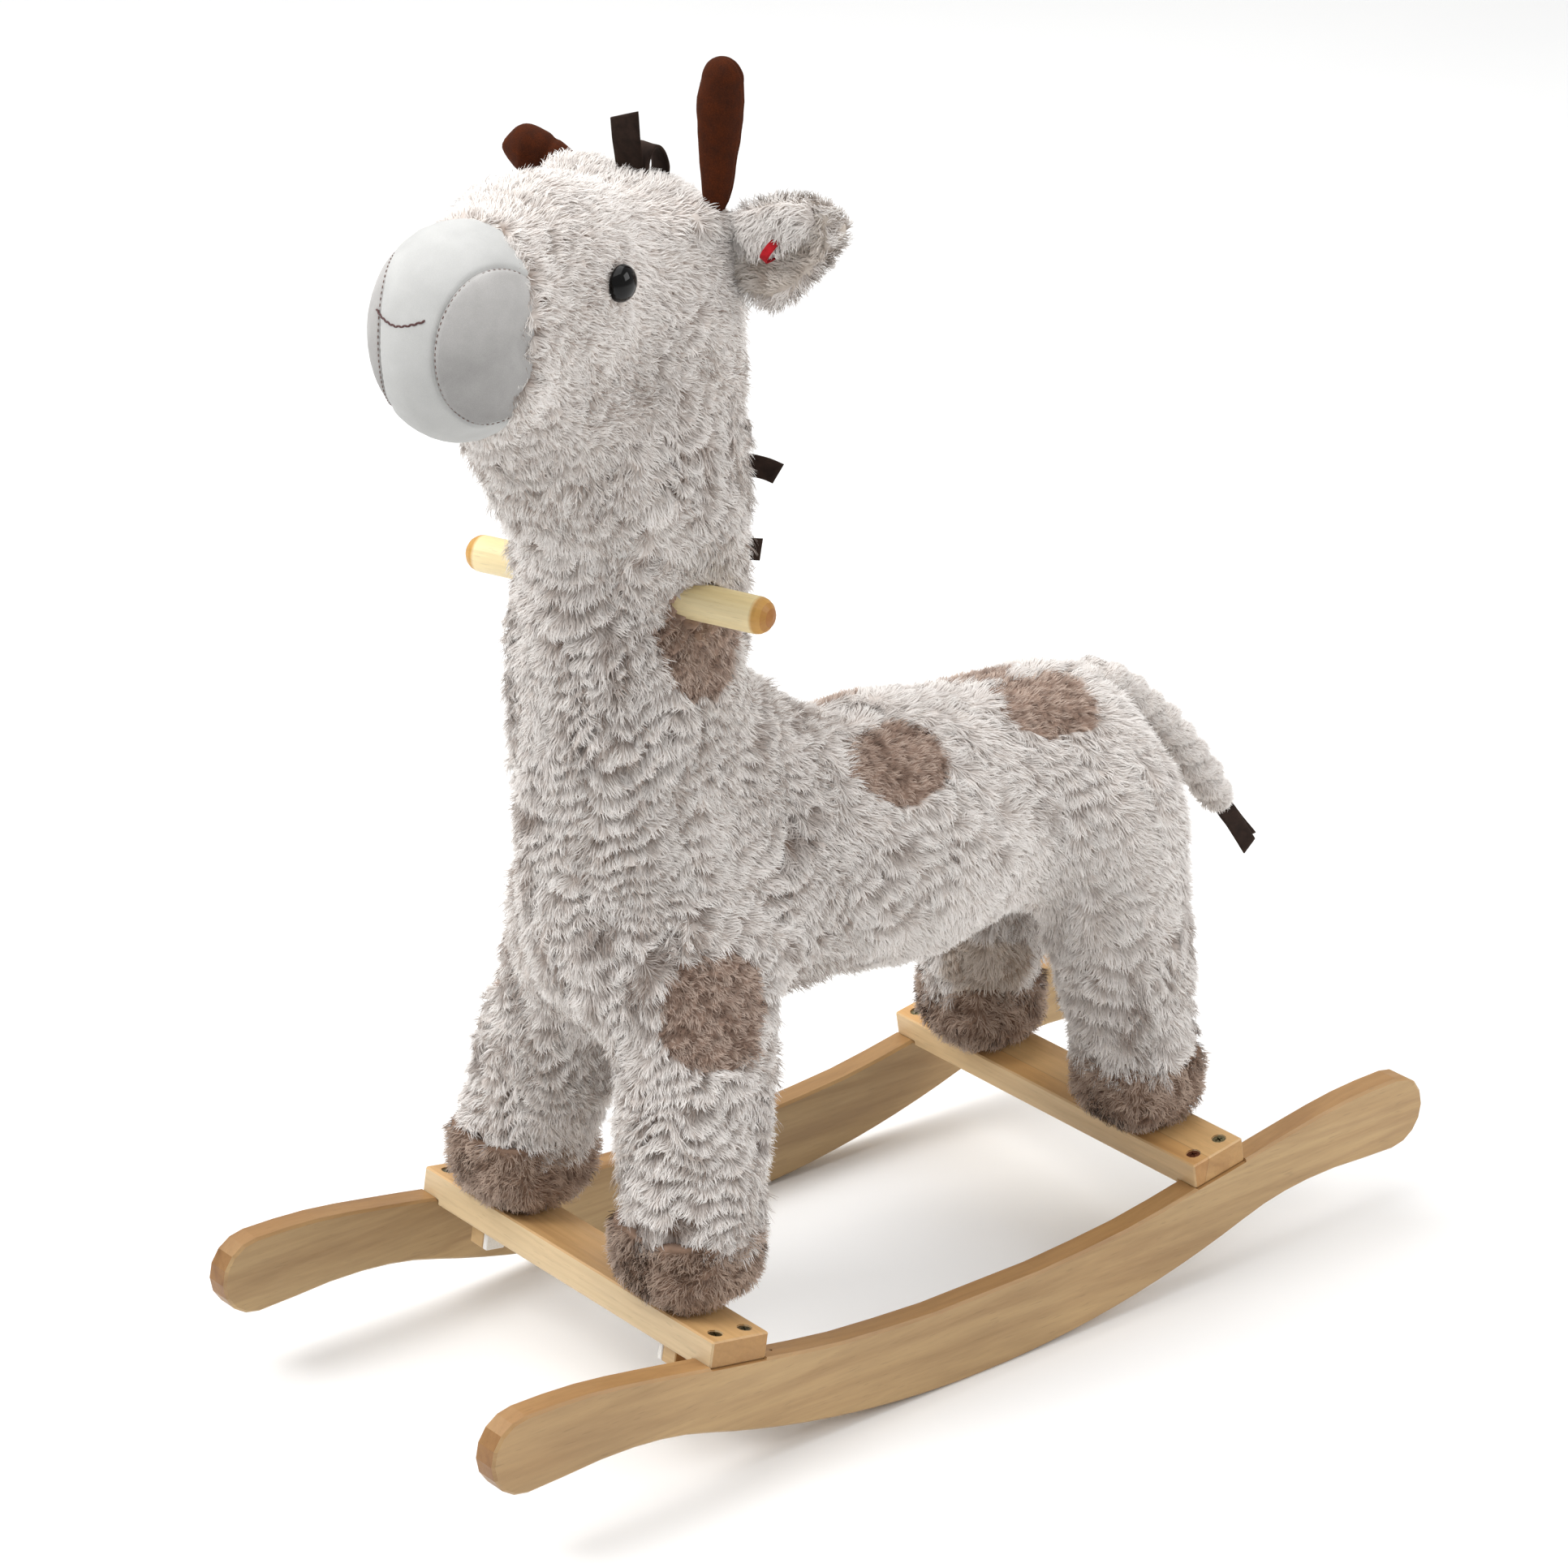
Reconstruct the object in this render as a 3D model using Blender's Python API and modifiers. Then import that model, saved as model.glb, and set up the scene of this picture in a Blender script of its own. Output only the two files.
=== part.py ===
"""Plush rocking giraffe on two wooden rockers: a padded fur cover over a wooden frame."""

import math

import bmesh
import bpy
from mathutils import Matrix, Vector

MM = 0.001
GAP = 0.3  # free space between two pieces that touch, mm

# Rockers, mm. The animal faces -Y, its left side is +X, the floor is z = 0.
ROCKER_IN, ROCKER_OUT = 129.0, 147.0
SOLE_R, SOLE_END, SOLE_STEP = 700.0, 216.0, 18.0
SOLE_FLAT = 16.0  # half length of the flat at the middle of the sole
NOSE_Y, NOSE_Z, NOSE_R = 346.0, 67.0, 25.0
TOP_STATIONS = ((0.0, 53.5), (110.0, 59.2), (170.0, 68.5), (240.0, 81.0), (300.0, 90.2), (346.0, 92.0))
ROCKER_ROUND = 1.6

# Crossbars, mm
BAR_Y, BAR_TILT, BAR_HALF = 192.0, 9.5, 145.0
BAR_DEEP, BAR_THICK, BAR_REBATE, BAR_SHOULDER = 42.0, 20.0, 3.0, 128.7
BAR_Z = 78.3
SCREW_X, SCREW_Y = 134.0, 11.0
SEAT_Z = -BAR_THICK / 2 + BAR_REBATE

# Inner frame, mm
POST = 24.0
POST_FOOT = (80.0, 187.0)
POST_HEAD = (31.0, 165.0)
BOARD_LOW, BOARD_THICK, BOARD_HALF = 280.0, 15.0, 45.0
BOARD_FRONT, BOARD_REAR = -184.0, 206.0
CORE_HALF, CORE_FRONT, CORE_REAR, CORE_HIGH = 50.0, 62.0, 192.0, 347.0

# Neck and head turn about a standing axis through the neck
NECK_Y, NECK_TURN = -157.0, 19.0
NECK_R, NECK_LOW, NECK_TOP, WALL = 65.0, 318.0, 632.0, 6.0
NECK_POST = (28.0, 34.0)
CHEST_R = 50.0  # hollow of the chest around the neck post
HANDLE_Y, HANDLE_Z, HANDLE_R, HANDLE_HALF = -10.0, 510.0, 11.0, 105.0

# Padded body, mm
BODY_Z = 304.0
BODY_RUN = ((-148.0, 70.0), (-60.0, 77.0), (30.0, 79.0), (160.0, 73.0))
LEG_R = {"front": (43.0, 47.0), "rear": (40.0, 51.0)}
LEG_HEAD = {"front": (46.0, -158.0, 262.0), "rear": (48.0, 172.0, 268.0)}
LEG_LOW = 138.0
HOOF_R, HOOF_Z = 42.0, 122.0

# Head, mm, in the turned frame: centre and radii
HEAD = (
    ((0, -10, 690), (64, 71, 64)),
    ((0, -85, 705), (57, 73, 59)),
    ((0, -58, 652), (48, 70, 50)),
    ((0, 0, 640), (65, 65, 65)),
    ((0, 4, 712), (63, 50, 42)),
)
MUZZLE = ((0, -158, 700), (47, 53, 59))
MUZZLE_SEAM = 27.0
EYE = (54.0, -90.0, 719.0)
EYE_R, EYE_HIGH = 8.5, 6.5
EAR_HINGE = (65.0, 22.0, 718.0)
# Ear outline from its hinge: distance out, half height, half thickness
EAR_LINE = ((-5.0, 2.6, 2.6), (-2.0, 5.4, 5.2), (4.0, 10.0, 6.4), (12.0, 19.0, 8.0), (22.0, 26.5, 9.6), (34.0, 30.5, 10.4), (47.0, 29.0, 10.0), (57.0, 22.5, 8.4), (64.5, 12.5, 5.6), (67.0, 4.5, 2.4))
HORN_FOOT = (55.0, 11.0, 748.0)
TAIL_LINE = ((0.0, 223.0, 358.0), (0.0, 264.0, 321.0), (0.0, 322.0, 247.0))
TAIL_R = 10.0

for old in list(bpy.data.objects):
    bpy.data.objects.remove(old)

scene = bpy.context.scene
cutters = bpy.data.collections.new("cutters")
scene.collection.children.link(cutters)
cutters.hide_render = True


def material(name, colour, rough):
    mat = bpy.data.materials.new(name)
    mat.use_nodes = True
    shader = mat.node_tree.nodes["Principled BSDF"]
    shader.inputs["Base Color"].default_value = (*colour, 1)
    shader.inputs["Roughness"].default_value = rough
    return mat


WOOD = (0.72, 0.52, 0.31)
FRAME_WOOD = (0.66, 0.48, 0.30)
CREAM = (0.78, 0.74, 0.69)
TAUPE = (0.36, 0.27, 0.22)
BROWN = (0.16, 0.05, 0.02)
DARK = (0.03, 0.018, 0.012)
STEEL = (0.45, 0.38, 0.26)


def here(local=(0, 0, 0)):
    """World place of a point given in the turned frame of neck and head, mm."""
    turn = Matrix.Rotation(math.radians(NECK_TURN), 4, "Z")
    return Matrix.Translation((0, NECK_Y * MM, 0)) @ turn @ Matrix.Translation(Vector(local) * MM)


def bar_frame(end):
    """Frame of a crossbar: origin at its middle, Z along its upper face's normal. end is -1 for the front."""
    return Matrix.Translation((0, end * BAR_Y * MM, BAR_Z * MM)) @ Matrix.Rotation(
        math.radians(end * BAR_TILT), 4, "X"
    )


def finish_mesh(bm, name):
    bmesh.ops.remove_doubles(bm, verts=bm.verts, dist=1e-7)
    bmesh.ops.recalc_face_normals(bm, faces=bm.faces)
    mesh = bpy.data.meshes.new(name)
    bm.to_mesh(mesh)
    bm.free()
    return mesh


def node(name, mesh, colour, rough=0.7, matrix=None, smooth=False):
    """One sub-part in a collection of its own name."""
    obj = bpy.data.objects.new(name, mesh)
    group = bpy.data.collections.new(name)
    scene.collection.children.link(group)
    group.objects.link(obj)
    obj.data.materials.append(material(name, colour, rough))
    if matrix is not None:
        obj.matrix_world = matrix
    for face in obj.data.polygons:
        face.use_smooth = smooth
    return obj


def cutter(name, mesh, matrix=None):
    obj = bpy.data.objects.new("cut_" + name, mesh)
    cutters.objects.link(obj)
    obj.hide_render = True
    obj.display_type = "WIRE"
    if matrix is not None:
        obj.matrix_world = matrix
    return obj


def combine(obj, other, how="DIFFERENCE"):
    mod = obj.modifiers.new(how.lower() + "_" + other.name, "BOOLEAN")
    mod.operation = how
    mod.solver = "EXACT"
    mod.object = other
    return obj


def rounded(obj, width, segments=1, angle=40):
    mod = obj.modifiers.new("edges", "BEVEL")
    mod.width = width * MM
    mod.segments = segments
    mod.limit_method = "ANGLE"
    mod.angle_limit = math.radians(angle)
    return obj


def box(name, low, high):
    """Box mesh between two corners, mm."""
    bm = bmesh.new()
    bmesh.ops.create_cube(bm, size=1)
    low, high = Vector(low) * MM, Vector(high) * MM
    for v in bm.verts:
        v.co = Vector((low[i] + (v.co[i] + 0.5) * (high[i] - low[i]) for i in range(3)))
    return finish_mesh(bm, name)


def turned(name, profile, steps=24, along="Z"):
    """Solid of revolution: profile of (radius, height) pairs in mm, both ends on the axis or a closed ring."""
    bm = bmesh.new()
    verts = [bm.verts.new((r * MM, 0, z * MM)) for r, z in profile]
    edges = [bm.edges.new(pair) for pair in zip(verts, verts[1:])]
    if profile[0][0] > 0:
        edges.append(bm.edges.new((verts[-1], verts[0])))
    bmesh.ops.spin(
        bm, geom=verts + edges, axis=(0, 0, 1), cent=(0, 0, 0), angle=2 * math.pi, steps=steps, use_merge=True
    )
    axis_turn = {"Z": Matrix(), "X": Matrix.Rotation(math.pi / 2, 4, "Y"), "Y": Matrix.Rotation(-math.pi / 2, 4, "X")}
    bmesh.ops.transform(bm, matrix=axis_turn[along], verts=bm.verts)
    return finish_mesh(bm, name)


def egg(name, centre, radii, grow=0.0, around=20, rings=12):
    """Ellipsoid mesh, mm."""
    bm = bmesh.new()
    bmesh.ops.create_uvsphere(bm, u_segments=around, v_segments=rings, radius=1)
    for v in bm.verts:
        v.co = Vector((centre[i] + v.co[i] * (radii[i] + grow)) * MM for i in range(3))
    return finish_mesh(bm, name)


def capsule(name, first, second, r1, r2, around=18, cap=4, flat_start=False):
    """Rod with round ends between two points, mm, its radius changing along it."""
    first, second = Vector(first), Vector(second)
    run = (second - first).length
    profile = [(0, 0 if flat_start else -r1)]
    if flat_start:
        profile.append((r1, 0))
    else:
        for i in range(1, cap + 1):
            a = math.pi / 2 * i / cap
            profile.append((r1 * math.sin(a), -r1 * math.cos(a)))
    for i in range(cap):
        a = math.pi / 2 * i / cap
        profile.append((r2 * math.cos(a), run + r2 * math.sin(a)))
    profile.append((0, run + r2))
    mesh = turned(name, profile, around)
    lay = (second - first).to_track_quat("Z", "Y").to_matrix().to_4x4()
    mesh.transform(Matrix.Translation(first * MM) @ lay)
    return mesh


def loft(name, rings, closed_ends=True):
    """Skin through rings of equal point counts, mm, with flat or pointed ends."""
    bm = bmesh.new()
    made = [[bm.verts.new(Vector(p) * MM) for p in ring] for ring in rings]
    for a, b in zip(made, made[1:]):
        for i in range(len(a)):
            j = (i + 1) % len(a)
            bm.faces.new((a[i], a[j], b[j], b[i]))
    if closed_ends:
        bm.faces.new(made[0])
        bm.faces.new(made[-1])
    return finish_mesh(bm, name)


def ribbon(name, path, width, thick, across):
    """Flat strip along a path of points, mm; across is the direction of its width."""
    across = Vector(across).normalized()
    rings = []
    for i, p in enumerate(path):
        before, after = Vector(path[max(i - 1, 0)]), Vector(path[min(i + 1, len(path) - 1)])
        normal = (after - before).normalized().cross(across).normalized()
        p = Vector(p)
        rings.append(
            [p + across * (u * width / 2) + normal * (v * thick / 2) for u, v in ((-1, -1), (1, -1), (1, 1), (-1, 1))]
        )
    return loft(name, rings)


def body_cutter(name, grow):
    """The body's outer shape, larger by grow."""
    return cutter(name, body_mesh(name, grow))


def body_mesh(name, grow=0.0, around=24, cap=5):
    first, last = BODY_RUN[0], BODY_RUN[-1]
    profile = [(0, first[0] - first[1] - grow)]
    for i in range(1, cap + 1):
        a = math.pi / 2 * i / cap
        r = first[1] + grow
        profile.append((r * math.sin(a), first[0] - r * math.cos(a)))
    for y, r in BODY_RUN[1:-1]:
        profile.append((r + grow, y))
    for i in range(cap):
        a = math.pi / 2 * i / cap
        r = last[1] + grow
        profile.append((r * math.cos(a), last[0] + r * math.sin(a)))
    profile.append((0, last[0] + last[1] + grow))
    mesh = turned(name, profile, around, "Y")
    mesh.transform(Matrix.Translation((0, 0, BODY_Z * MM)))
    return mesh


def smooth_step(points, y):
    """Height of a smooth line through the stations at y."""
    y = abs(y)
    slopes = []
    for i in range(len(points)):
        a, b = points[max(i - 1, 0)], points[min(i + 1, len(points) - 1)]
        slopes.append((b[1] - a[1]) / (b[0] - a[0]))
    slopes[0] = slopes[-1] = 0.0
    for i in range(len(points) - 1):
        (y0, z0), (y1, z1) = points[i], points[i + 1]
        if y <= y1:
            t = (y - y0) / (y1 - y0)
            run = y1 - y0
            return (
                z0 * (2 * t**3 - 3 * t**2 + 1)
                + slopes[i] * run * (t**3 - 2 * t**2 + t)
                + z1 * (3 * t**2 - 2 * t**3)
                + slopes[i + 1] * run * (t**3 - t**2)
            )
    return points[-1][1]


def sole(y):
    """Height of a rocker's running edge: an arc, then a soft reverse curve to the nose."""
    y = abs(y)
    if y <= SOLE_END:
        return SOLE_R - math.sqrt(SOLE_R**2 - y * y)
    start = SOLE_R - math.sqrt(SOLE_R**2 - SOLE_END**2)
    slope = SOLE_END / math.sqrt(SOLE_R**2 - SOLE_END**2)
    run = 290.0 - SOLE_END
    if y <= 290.0:
        t = (y - SOLE_END) / run
        return (
            start * (2 * t**3 - 3 * t**2 + 1)
            + slope * run * (t**3 - 2 * t**2 + t)
            + 44.6 * (3 * t**2 - 2 * t**3)
        )
    t = (y - 290.0) / (NOSE_Y - 290.0)
    return 44.6 + (NOSE_Z - NOSE_R - 44.6) * (3 * t**2 - 2 * t**3)


def rocker_outline():
    # A short flat stands at the very middle of the sole, so the toy rests level.
    low = [SOLE_FLAT + SOLE_STEP * i for i in range(int((SOLE_END - SOLE_FLAT) / SOLE_STEP) + 1)]
    low += [232.0, 250.0, 270.0, 294.0, 320.0]
    half = [(y, sole(y) - sole(SOLE_FLAT)) for y in low]
    for i in range(9):
        a = -math.pi / 2 + math.pi * i / 8
        half.append((NOSE_Y + NOSE_R * math.cos(a), NOSE_Z + NOSE_R * math.sin(a)))
    top = [324.0, 302.0, 280.0, 256.0, 230.0, 200.0, 172.0, 144.0, 114.0, 80.0, 42.0]
    half += [(y, smooth_step(TOP_STATIONS, y)) for y in top]
    return half + [(-y, z) for y, z in reversed(half)]


def rocker_mesh(name, side):
    bm = bmesh.new()
    verts = [bm.verts.new((side * ROCKER_IN * MM, y * MM, z * MM)) for y, z in rocker_outline()]
    face = bm.faces.new(verts)
    grown = bmesh.ops.extrude_face_region(bm, geom=[face])
    moved = [v for v in grown["geom"] if isinstance(v, bmesh.types.BMVert)]
    bmesh.ops.translate(bm, verts=moved, vec=(side * (ROCKER_OUT - ROCKER_IN) * MM, 0, 0))
    return finish_mesh(bm, name)


def bar_mesh(name, grow=0.0, longer=0.0):
    half, low, high = BAR_HALF + grow + longer, -BAR_THICK / 2 - grow, BAR_THICK / 2 + grow
    shoulder, seat = BAR_SHOULDER + grow, SEAT_Z - grow
    line = [(-half, seat), (-shoulder, seat), (-shoulder, low), (shoulder, low), (shoulder, seat), (half, seat), (half, high), (-half, high)]
    deep = BAR_DEEP / 2 + grow
    return loft(name, [[(x, -deep, z) for x, z in line], [(x, deep, z) for x, z in line]])


SCREW_PROFILE = [(0, -0.6), (4.3, -0.7), (2.0, -3.1), (2.0, -37.0), (0, -40.0)]
SCREW_HOLE = [(0, 1.5), (4.8, 1.5), (4.8, -0.7), (2.35, -3.4), (2.35, -41.5), (0, -41.5)]
BORE_STEPS = 10


def cross_recess(name, matrix, turn):
    """Cross slot of a screw head, cut 1.4 mm deep."""
    made = []
    for k, angle in enumerate((turn, turn + 90)):
        mesh = box("slot", (-2.3, -0.5, -2.1), (2.3, 0.5, 1.0))
        made.append(cutter(f"{name}_{k}", mesh, matrix @ Matrix.Rotation(math.radians(angle), 4, "Z")))
    return made


def screw(name, matrix, colour, turn=None, length=40.0):
    """Countersunk screw; its head lies just under z = 0 of matrix. One that is seen has a cross slot."""
    profile = [(r, z if z > -20 else z + 40.0 - length) for r, z in SCREW_PROFILE]
    obj = node(name, turned(name, profile, BORE_STEPS), colour, 0.35, matrix)
    for cut in cross_recess(name, matrix, turn) if turn is not None else ():
        combine(obj, cut)
    return obj


def screw_bore(name, matrix, length=40.0):
    profile = [(r, z if z > -20 else z + 40.0 - length) for r, z in SCREW_HOLE]
    return cutter(name, turned(name, profile, BORE_STEPS), matrix)


# Rockers, crossbars and the screws between them
SIDES = (("left", 1), ("right", -1))
ENDS = (("front", -1), ("rear", 1))
rockers, bars = {}, {}
for side, s in SIDES:
    rockers[side] = node(f"rocker_{side}", rocker_mesh(f"rocker_{side}", s), WOOD, 0.5)
for end, e in ENDS:
    bars[end] = node(f"crossbar_{end}", bar_mesh(f"crossbar_{end}"), WOOD, 0.5, bar_frame(e))
    rounded(bars[end], 1.0)
    seat = rounded(cutter(f"seat_{end}", bar_mesh("seat", GAP, 12.0), bar_frame(e)), 1.0)
    for side, s in SIDES:
        combine(rockers[side], seat)
SCREW_TONES = {("front", "left"): (0.5, 0.38, 0.2), ("rear", "left"): (0.45, 0.2, 0.1)}
for end, e in ENDS:
    for side, s in SIDES:
        for place, p in (("outer", 1), ("inner", -1)):
            name = f"screw_{end}_{side}_{place}"
            at = bar_frame(e) @ Matrix.Translation((s * SCREW_X * MM, e * p * SCREW_Y * MM, BAR_THICK / 2 * MM))
            screw(name, at, SCREW_TONES.get((end, side), STEEL), 23 * (s + 2 * e + 4 * p))
            bore = screw_bore(name, at)
            combine(rockers[side], bore)
            combine(bars[end], bore)
brad = turned("brad", [(0, 3.0), (1.1, 3.0), (1.1, -4.0), (0, -4.0)], 8)
combine(
    rockers["left"],
    cutter("brad_hole", brad, Matrix.Translation((138 * MM, -163 * MM, smooth_step(TOP_STATIONS, 163) * MM))),
)
for side, s in SIDES:
    rounded(rockers[side], ROCKER_ROUND)
    rockers[side].modifiers.move(len(rockers[side].modifiers) - 1, 0)


def post_mesh(name, s, e, grow=0.0, past=0.0):
    """Leaning leg post: its foot is parallel to the crossbar's top, its head level under the board."""
    tilt = math.tan(math.radians(BAR_TILT))
    half = POST / 2 + grow
    top_of_bar = BAR_Z + BAR_THICK / 2 / math.cos(math.radians(BAR_TILT))
    foot, head = [], []
    for u, v in ((-1, -1), (1, -1), (1, 1), (-1, 1)):
        x, y = s * POST_FOOT[0] + u * half, e * POST_FOOT[1] + v * half
        low = Vector((x, y, top_of_bar + (e * y - BAR_Y) * tilt + GAP))
        high = Vector((s * POST_HEAD[0] + u * half, e * POST_HEAD[1] + v * half, BOARD_LOW - GAP))
        lean = (high - low).normalized()
        foot.append(low - lean * past)
        head.append(high + lean * past)
    return loft(name, [foot, head])


def bored(name, colour, mesh, matrix=None, rough=0.95):
    return node(name, mesh, colour, rough, matrix, smooth=True)


board = node(
    "body_board",
    box("body_board", (-BOARD_HALF, BOARD_FRONT, BOARD_LOW), (BOARD_HALF, BOARD_REAR, BOARD_LOW + BOARD_THICK)),
    FRAME_WOOD,
)
core = node(
    "seat_core",
    box("seat_core", (-CORE_HALF, CORE_FRONT, BOARD_LOW + BOARD_THICK + GAP), (CORE_HALF, CORE_REAR, CORE_HIGH)),
    FRAME_WOOD,
)
rounded(core, 9.0)

# The body's cover over the board, the core and the posts
body = bored("body_plush", CREAM, body_mesh("body_plush"))
slot = 0.5
combine(
    body,
    cutter(
        "board_slot",
        box(
            "board_slot",
            (-BOARD_HALF - slot, BOARD_FRONT - slot, BOARD_LOW - slot),
            (BOARD_HALF + slot, BOARD_REAR + slot, BOARD_LOW + BOARD_THICK + slot),
        ),
    ),
)
core_slot = box(
    "core_slot",
    (-CORE_HALF - slot, CORE_FRONT - slot, BOARD_LOW + BOARD_THICK - 2 * slot),
    (CORE_HALF + slot, CORE_REAR + slot, CORE_HIGH + slot),
)
combine(body, rounded(cutter("core_slot", core_slot), 9.0))

around_body = body_cutter("around_body", 0.5)
floor_box = {}
for end, e in ENDS:
    floor_box[end] = cutter(
        f"bar_top_{end}", box("bar_top", (-160, -70, -60), (160, 70, BAR_THICK / 2 + GAP)), bar_frame(e)
    )

for end, e in ENDS:
    for side, s in SIDES:
        tag = f"{end}_{side}"
        post = node(f"leg_post_{tag}", post_mesh(f"leg_post_{tag}", s, e), FRAME_WOOD)
        sleeve = cutter(f"post_sleeve_{tag}", post_mesh("post_sleeve", s, e, 0.5, 6.0))
        combine(body, sleeve)
        # Screw up through the crossbar into the post
        at = (
            bar_frame(e)
            @ Matrix.Translation((s * POST_FOOT[0] * MM, -e * 5.0 * MM, -BAR_THICK / 2 * MM))
            @ Matrix.Rotation(math.pi, 4, "X")
        )
        screw(f"leg_screw_{tag}", at, STEEL)
        bore = screw_bore(f"leg_screw_{tag}", at)
        combine(bars[end], bore)
        combine(post, bore)
        # Padded leg and its hoof
        foot = Vector((s * 79.0, e * 184.0, 100.0))
        head = Vector((s * LEG_HEAD[end][0], *LEG_HEAD[end][1:]))
        leg = bored(f"leg_plush_{tag}", CREAM, capsule(f"leg_plush_{tag}", foot, head, *LEG_R[end]))
        combine(leg, around_body)
        combine(leg, cutter(f"leg_low_{tag}", box("leg_low", (-200, -300, 20), (200, 300, LEG_LOW))))
        combine(leg, sleeve)
        hoof = bored(
            f"hoof_{tag}",
            TAUPE,
            egg(f"hoof_{tag}", (s * 80.0, e * 186.0, HOOF_Z), (HOOF_R, HOOF_R, HOOF_R), 0.0, 18, 10),
        )
        combine(hoof, floor_box[end])
        combine(hoof, cutter(f"hoof_top_{tag}", box("hoof_top", (-200, -300, LEG_LOW - GAP), (200, 300, 200))))
        combine(hoof, sleeve)
for end in ("front", "rear"):
    # keep the edge rounding of the bars before their bores
    bars[end].modifiers.move(bars[end].modifiers.find("edges"), 0)

# Neck post, handle and their screws
half_x, half_y = NECK_POST[0] / 2, NECK_POST[1] / 2
post_low = BOARD_LOW + BOARD_THICK + GAP
neck_post = node(
    "neck_post",
    box("neck_post", (-half_x, HANDLE_Y - half_y, post_low), (half_x, HANDLE_Y + half_y, 600)),
    FRAME_WOOD,
    matrix=here(),
)
rounded(neck_post, 1.5)
combine(
    neck_post,
    cutter(
        "handle_bore",
        turned("handle_bore", [(0, -60), (HANDLE_R + 0.35, -60), (HANDLE_R + 0.35, 60), (0, 60)], 24, "X"),
        here((0, HANDLE_Y, HANDLE_Z)),
    ),
)
for k, dy in enumerate((-9.0, 9.0)):
    at = here((0, HANDLE_Y + dy, BOARD_LOW)) @ Matrix.Rotation(math.pi, 4, "X")
    screw(f"neck_screw_{k + 1}", at, STEEL)
    bore = screw_bore(f"neck_screw_{k + 1}", at)
    combine(board, bore)
    combine(neck_post, bore)

dome = [(0, HANDLE_HALF), (5.6, HANDLE_HALF - 1.4), (8.6, HANDLE_HALF - 3.8), (10.3, HANDLE_HALF - 6.6), (HANDLE_R, HANDLE_HALF - 9.6)]
handle_line = [(r, z) for r, z in dome] + [(r, -z) for r, z in reversed(dome)]
handle = node(
    "handle_bar", turned("handle_bar", handle_line, 24, "X"), WOOD, 0.45, here((0, HANDLE_Y, HANDLE_Z)), smooth=True
)
at = here((0, HANDLE_Y + half_y, HANDLE_Z)) @ Matrix.Rotation(-math.pi / 2, 4, "X")
screw("handle_screw", at, STEEL, length=20.0)
bore = screw_bore("handle_screw", at, 20.0)
combine(neck_post, bore)
combine(handle, bore)

# Neck cover: a sleeve over the post
neck_line = [(NECK_R - WALL, NECK_LOW), (NECK_R + 1, NECK_LOW), (NECK_R, NECK_TOP), (NECK_R - WALL, NECK_TOP)]
neck = bored("neck_plush", CREAM, turned("neck_plush", neck_line, 24), here())
combine(neck, body_cutter("under_neck", 0.5))
chest = [(0, BOARD_LOW + BOARD_THICK - 0.2), (CHEST_R, BOARD_LOW + BOARD_THICK - 0.2), (CHEST_R, 420), (0, 420)]
combine(body, cutter("chest_hollow", turned("chest_hollow", chest, 20), here()))
combine(
    neck,
    cutter(
        "handle_holes",
        turned("handle_holes", [(0, -90), (HANDLE_R + 0.6, -90), (HANDLE_R + 0.6, 90), (0, 90)], 24, "X"),
        here((0, HANDLE_Y, HANDLE_Z)),
    ),
)

# Head cover: a padded shell, open to the neck
head_mesh = egg("head_plush", HEAD[0][0], HEAD[0][1], 0.0, 16, 9)
head = bored("head_plush", CREAM, head_mesh, here())
for k, (centre, radii) in enumerate(HEAD[1:]):
    combine(head, cutter(f"head_part_{k}", egg("head_part", centre, radii, 0.0, 16, 9), here()), "UNION")
for k, (centre, radii) in enumerate((HEAD[0], HEAD[1], HEAD[3], HEAD[4])):
    combine(head, cutter(f"head_hollow_{k}", egg("head_hollow", centre, radii, -WALL - 1, 12, 7), here()))
neck_top = [(0, 500), (NECK_R + 1.0, 500), (NECK_R + 0.4, NECK_TOP + GAP), (0, NECK_TOP + GAP)]
combine(head, cutter("head_seat", turned("head_seat", neck_top, 24), here()))
for side, s in SIDES:
    face = s * EYE[0]
    flat = turned("eye_flat", [(0, 0), (EYE_R + 0.4, 0), (EYE_R + 0.4, 14), (0, 14)], 14, "X")
    combine(head, cutter(f"eye_flat_{side}", flat, here((face, EYE[1], EYE[2])) @ Matrix.Rotation(math.pi * (s < 0), 4, "Z")))
    hole = turned("eye_hole", [(0, -20), (6.8, -20), (6.8, -9.4), (2.35, -9.4), (2.35, 5), (0, 5)], 12, "X")
    combine(head, cutter(f"eye_hole_{side}", hole, here((face, EYE[1], EYE[2])) @ Matrix.Rotation(math.pi * (s < 0), 4, "Z")))
    out = here((face, EYE[1], EYE[2])) @ Matrix.Rotation(math.pi * (s < 0), 4, "Z")
    line = [(0, -12), (2.0, -12), (2.0, GAP), (EYE_R - 0.5, GAP), (EYE_R, GAP + 0.8)]
    line += [(EYE_R * math.cos(a), GAP + 0.8 + EYE_HIGH * math.sin(a)) for a in (0.5, 1.0)]
    line.append((0, GAP + 0.8 + EYE_HIGH))
    node(f"eye_{side}", turned(f"eye_{side}", line, 14, "X"), (0.01, 0.01, 0.01), 0.1, out, smooth=True)
    ring = [(2.35, -11.4), (6.0, -11.4), (6.0, -9.8), (2.35, -9.8)]
    node(f"eye_washer_{side}", turned(f"eye_washer_{side}", ring, 12, "X"), (0.8, 0.8, 0.78), 0.4, out)

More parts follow.
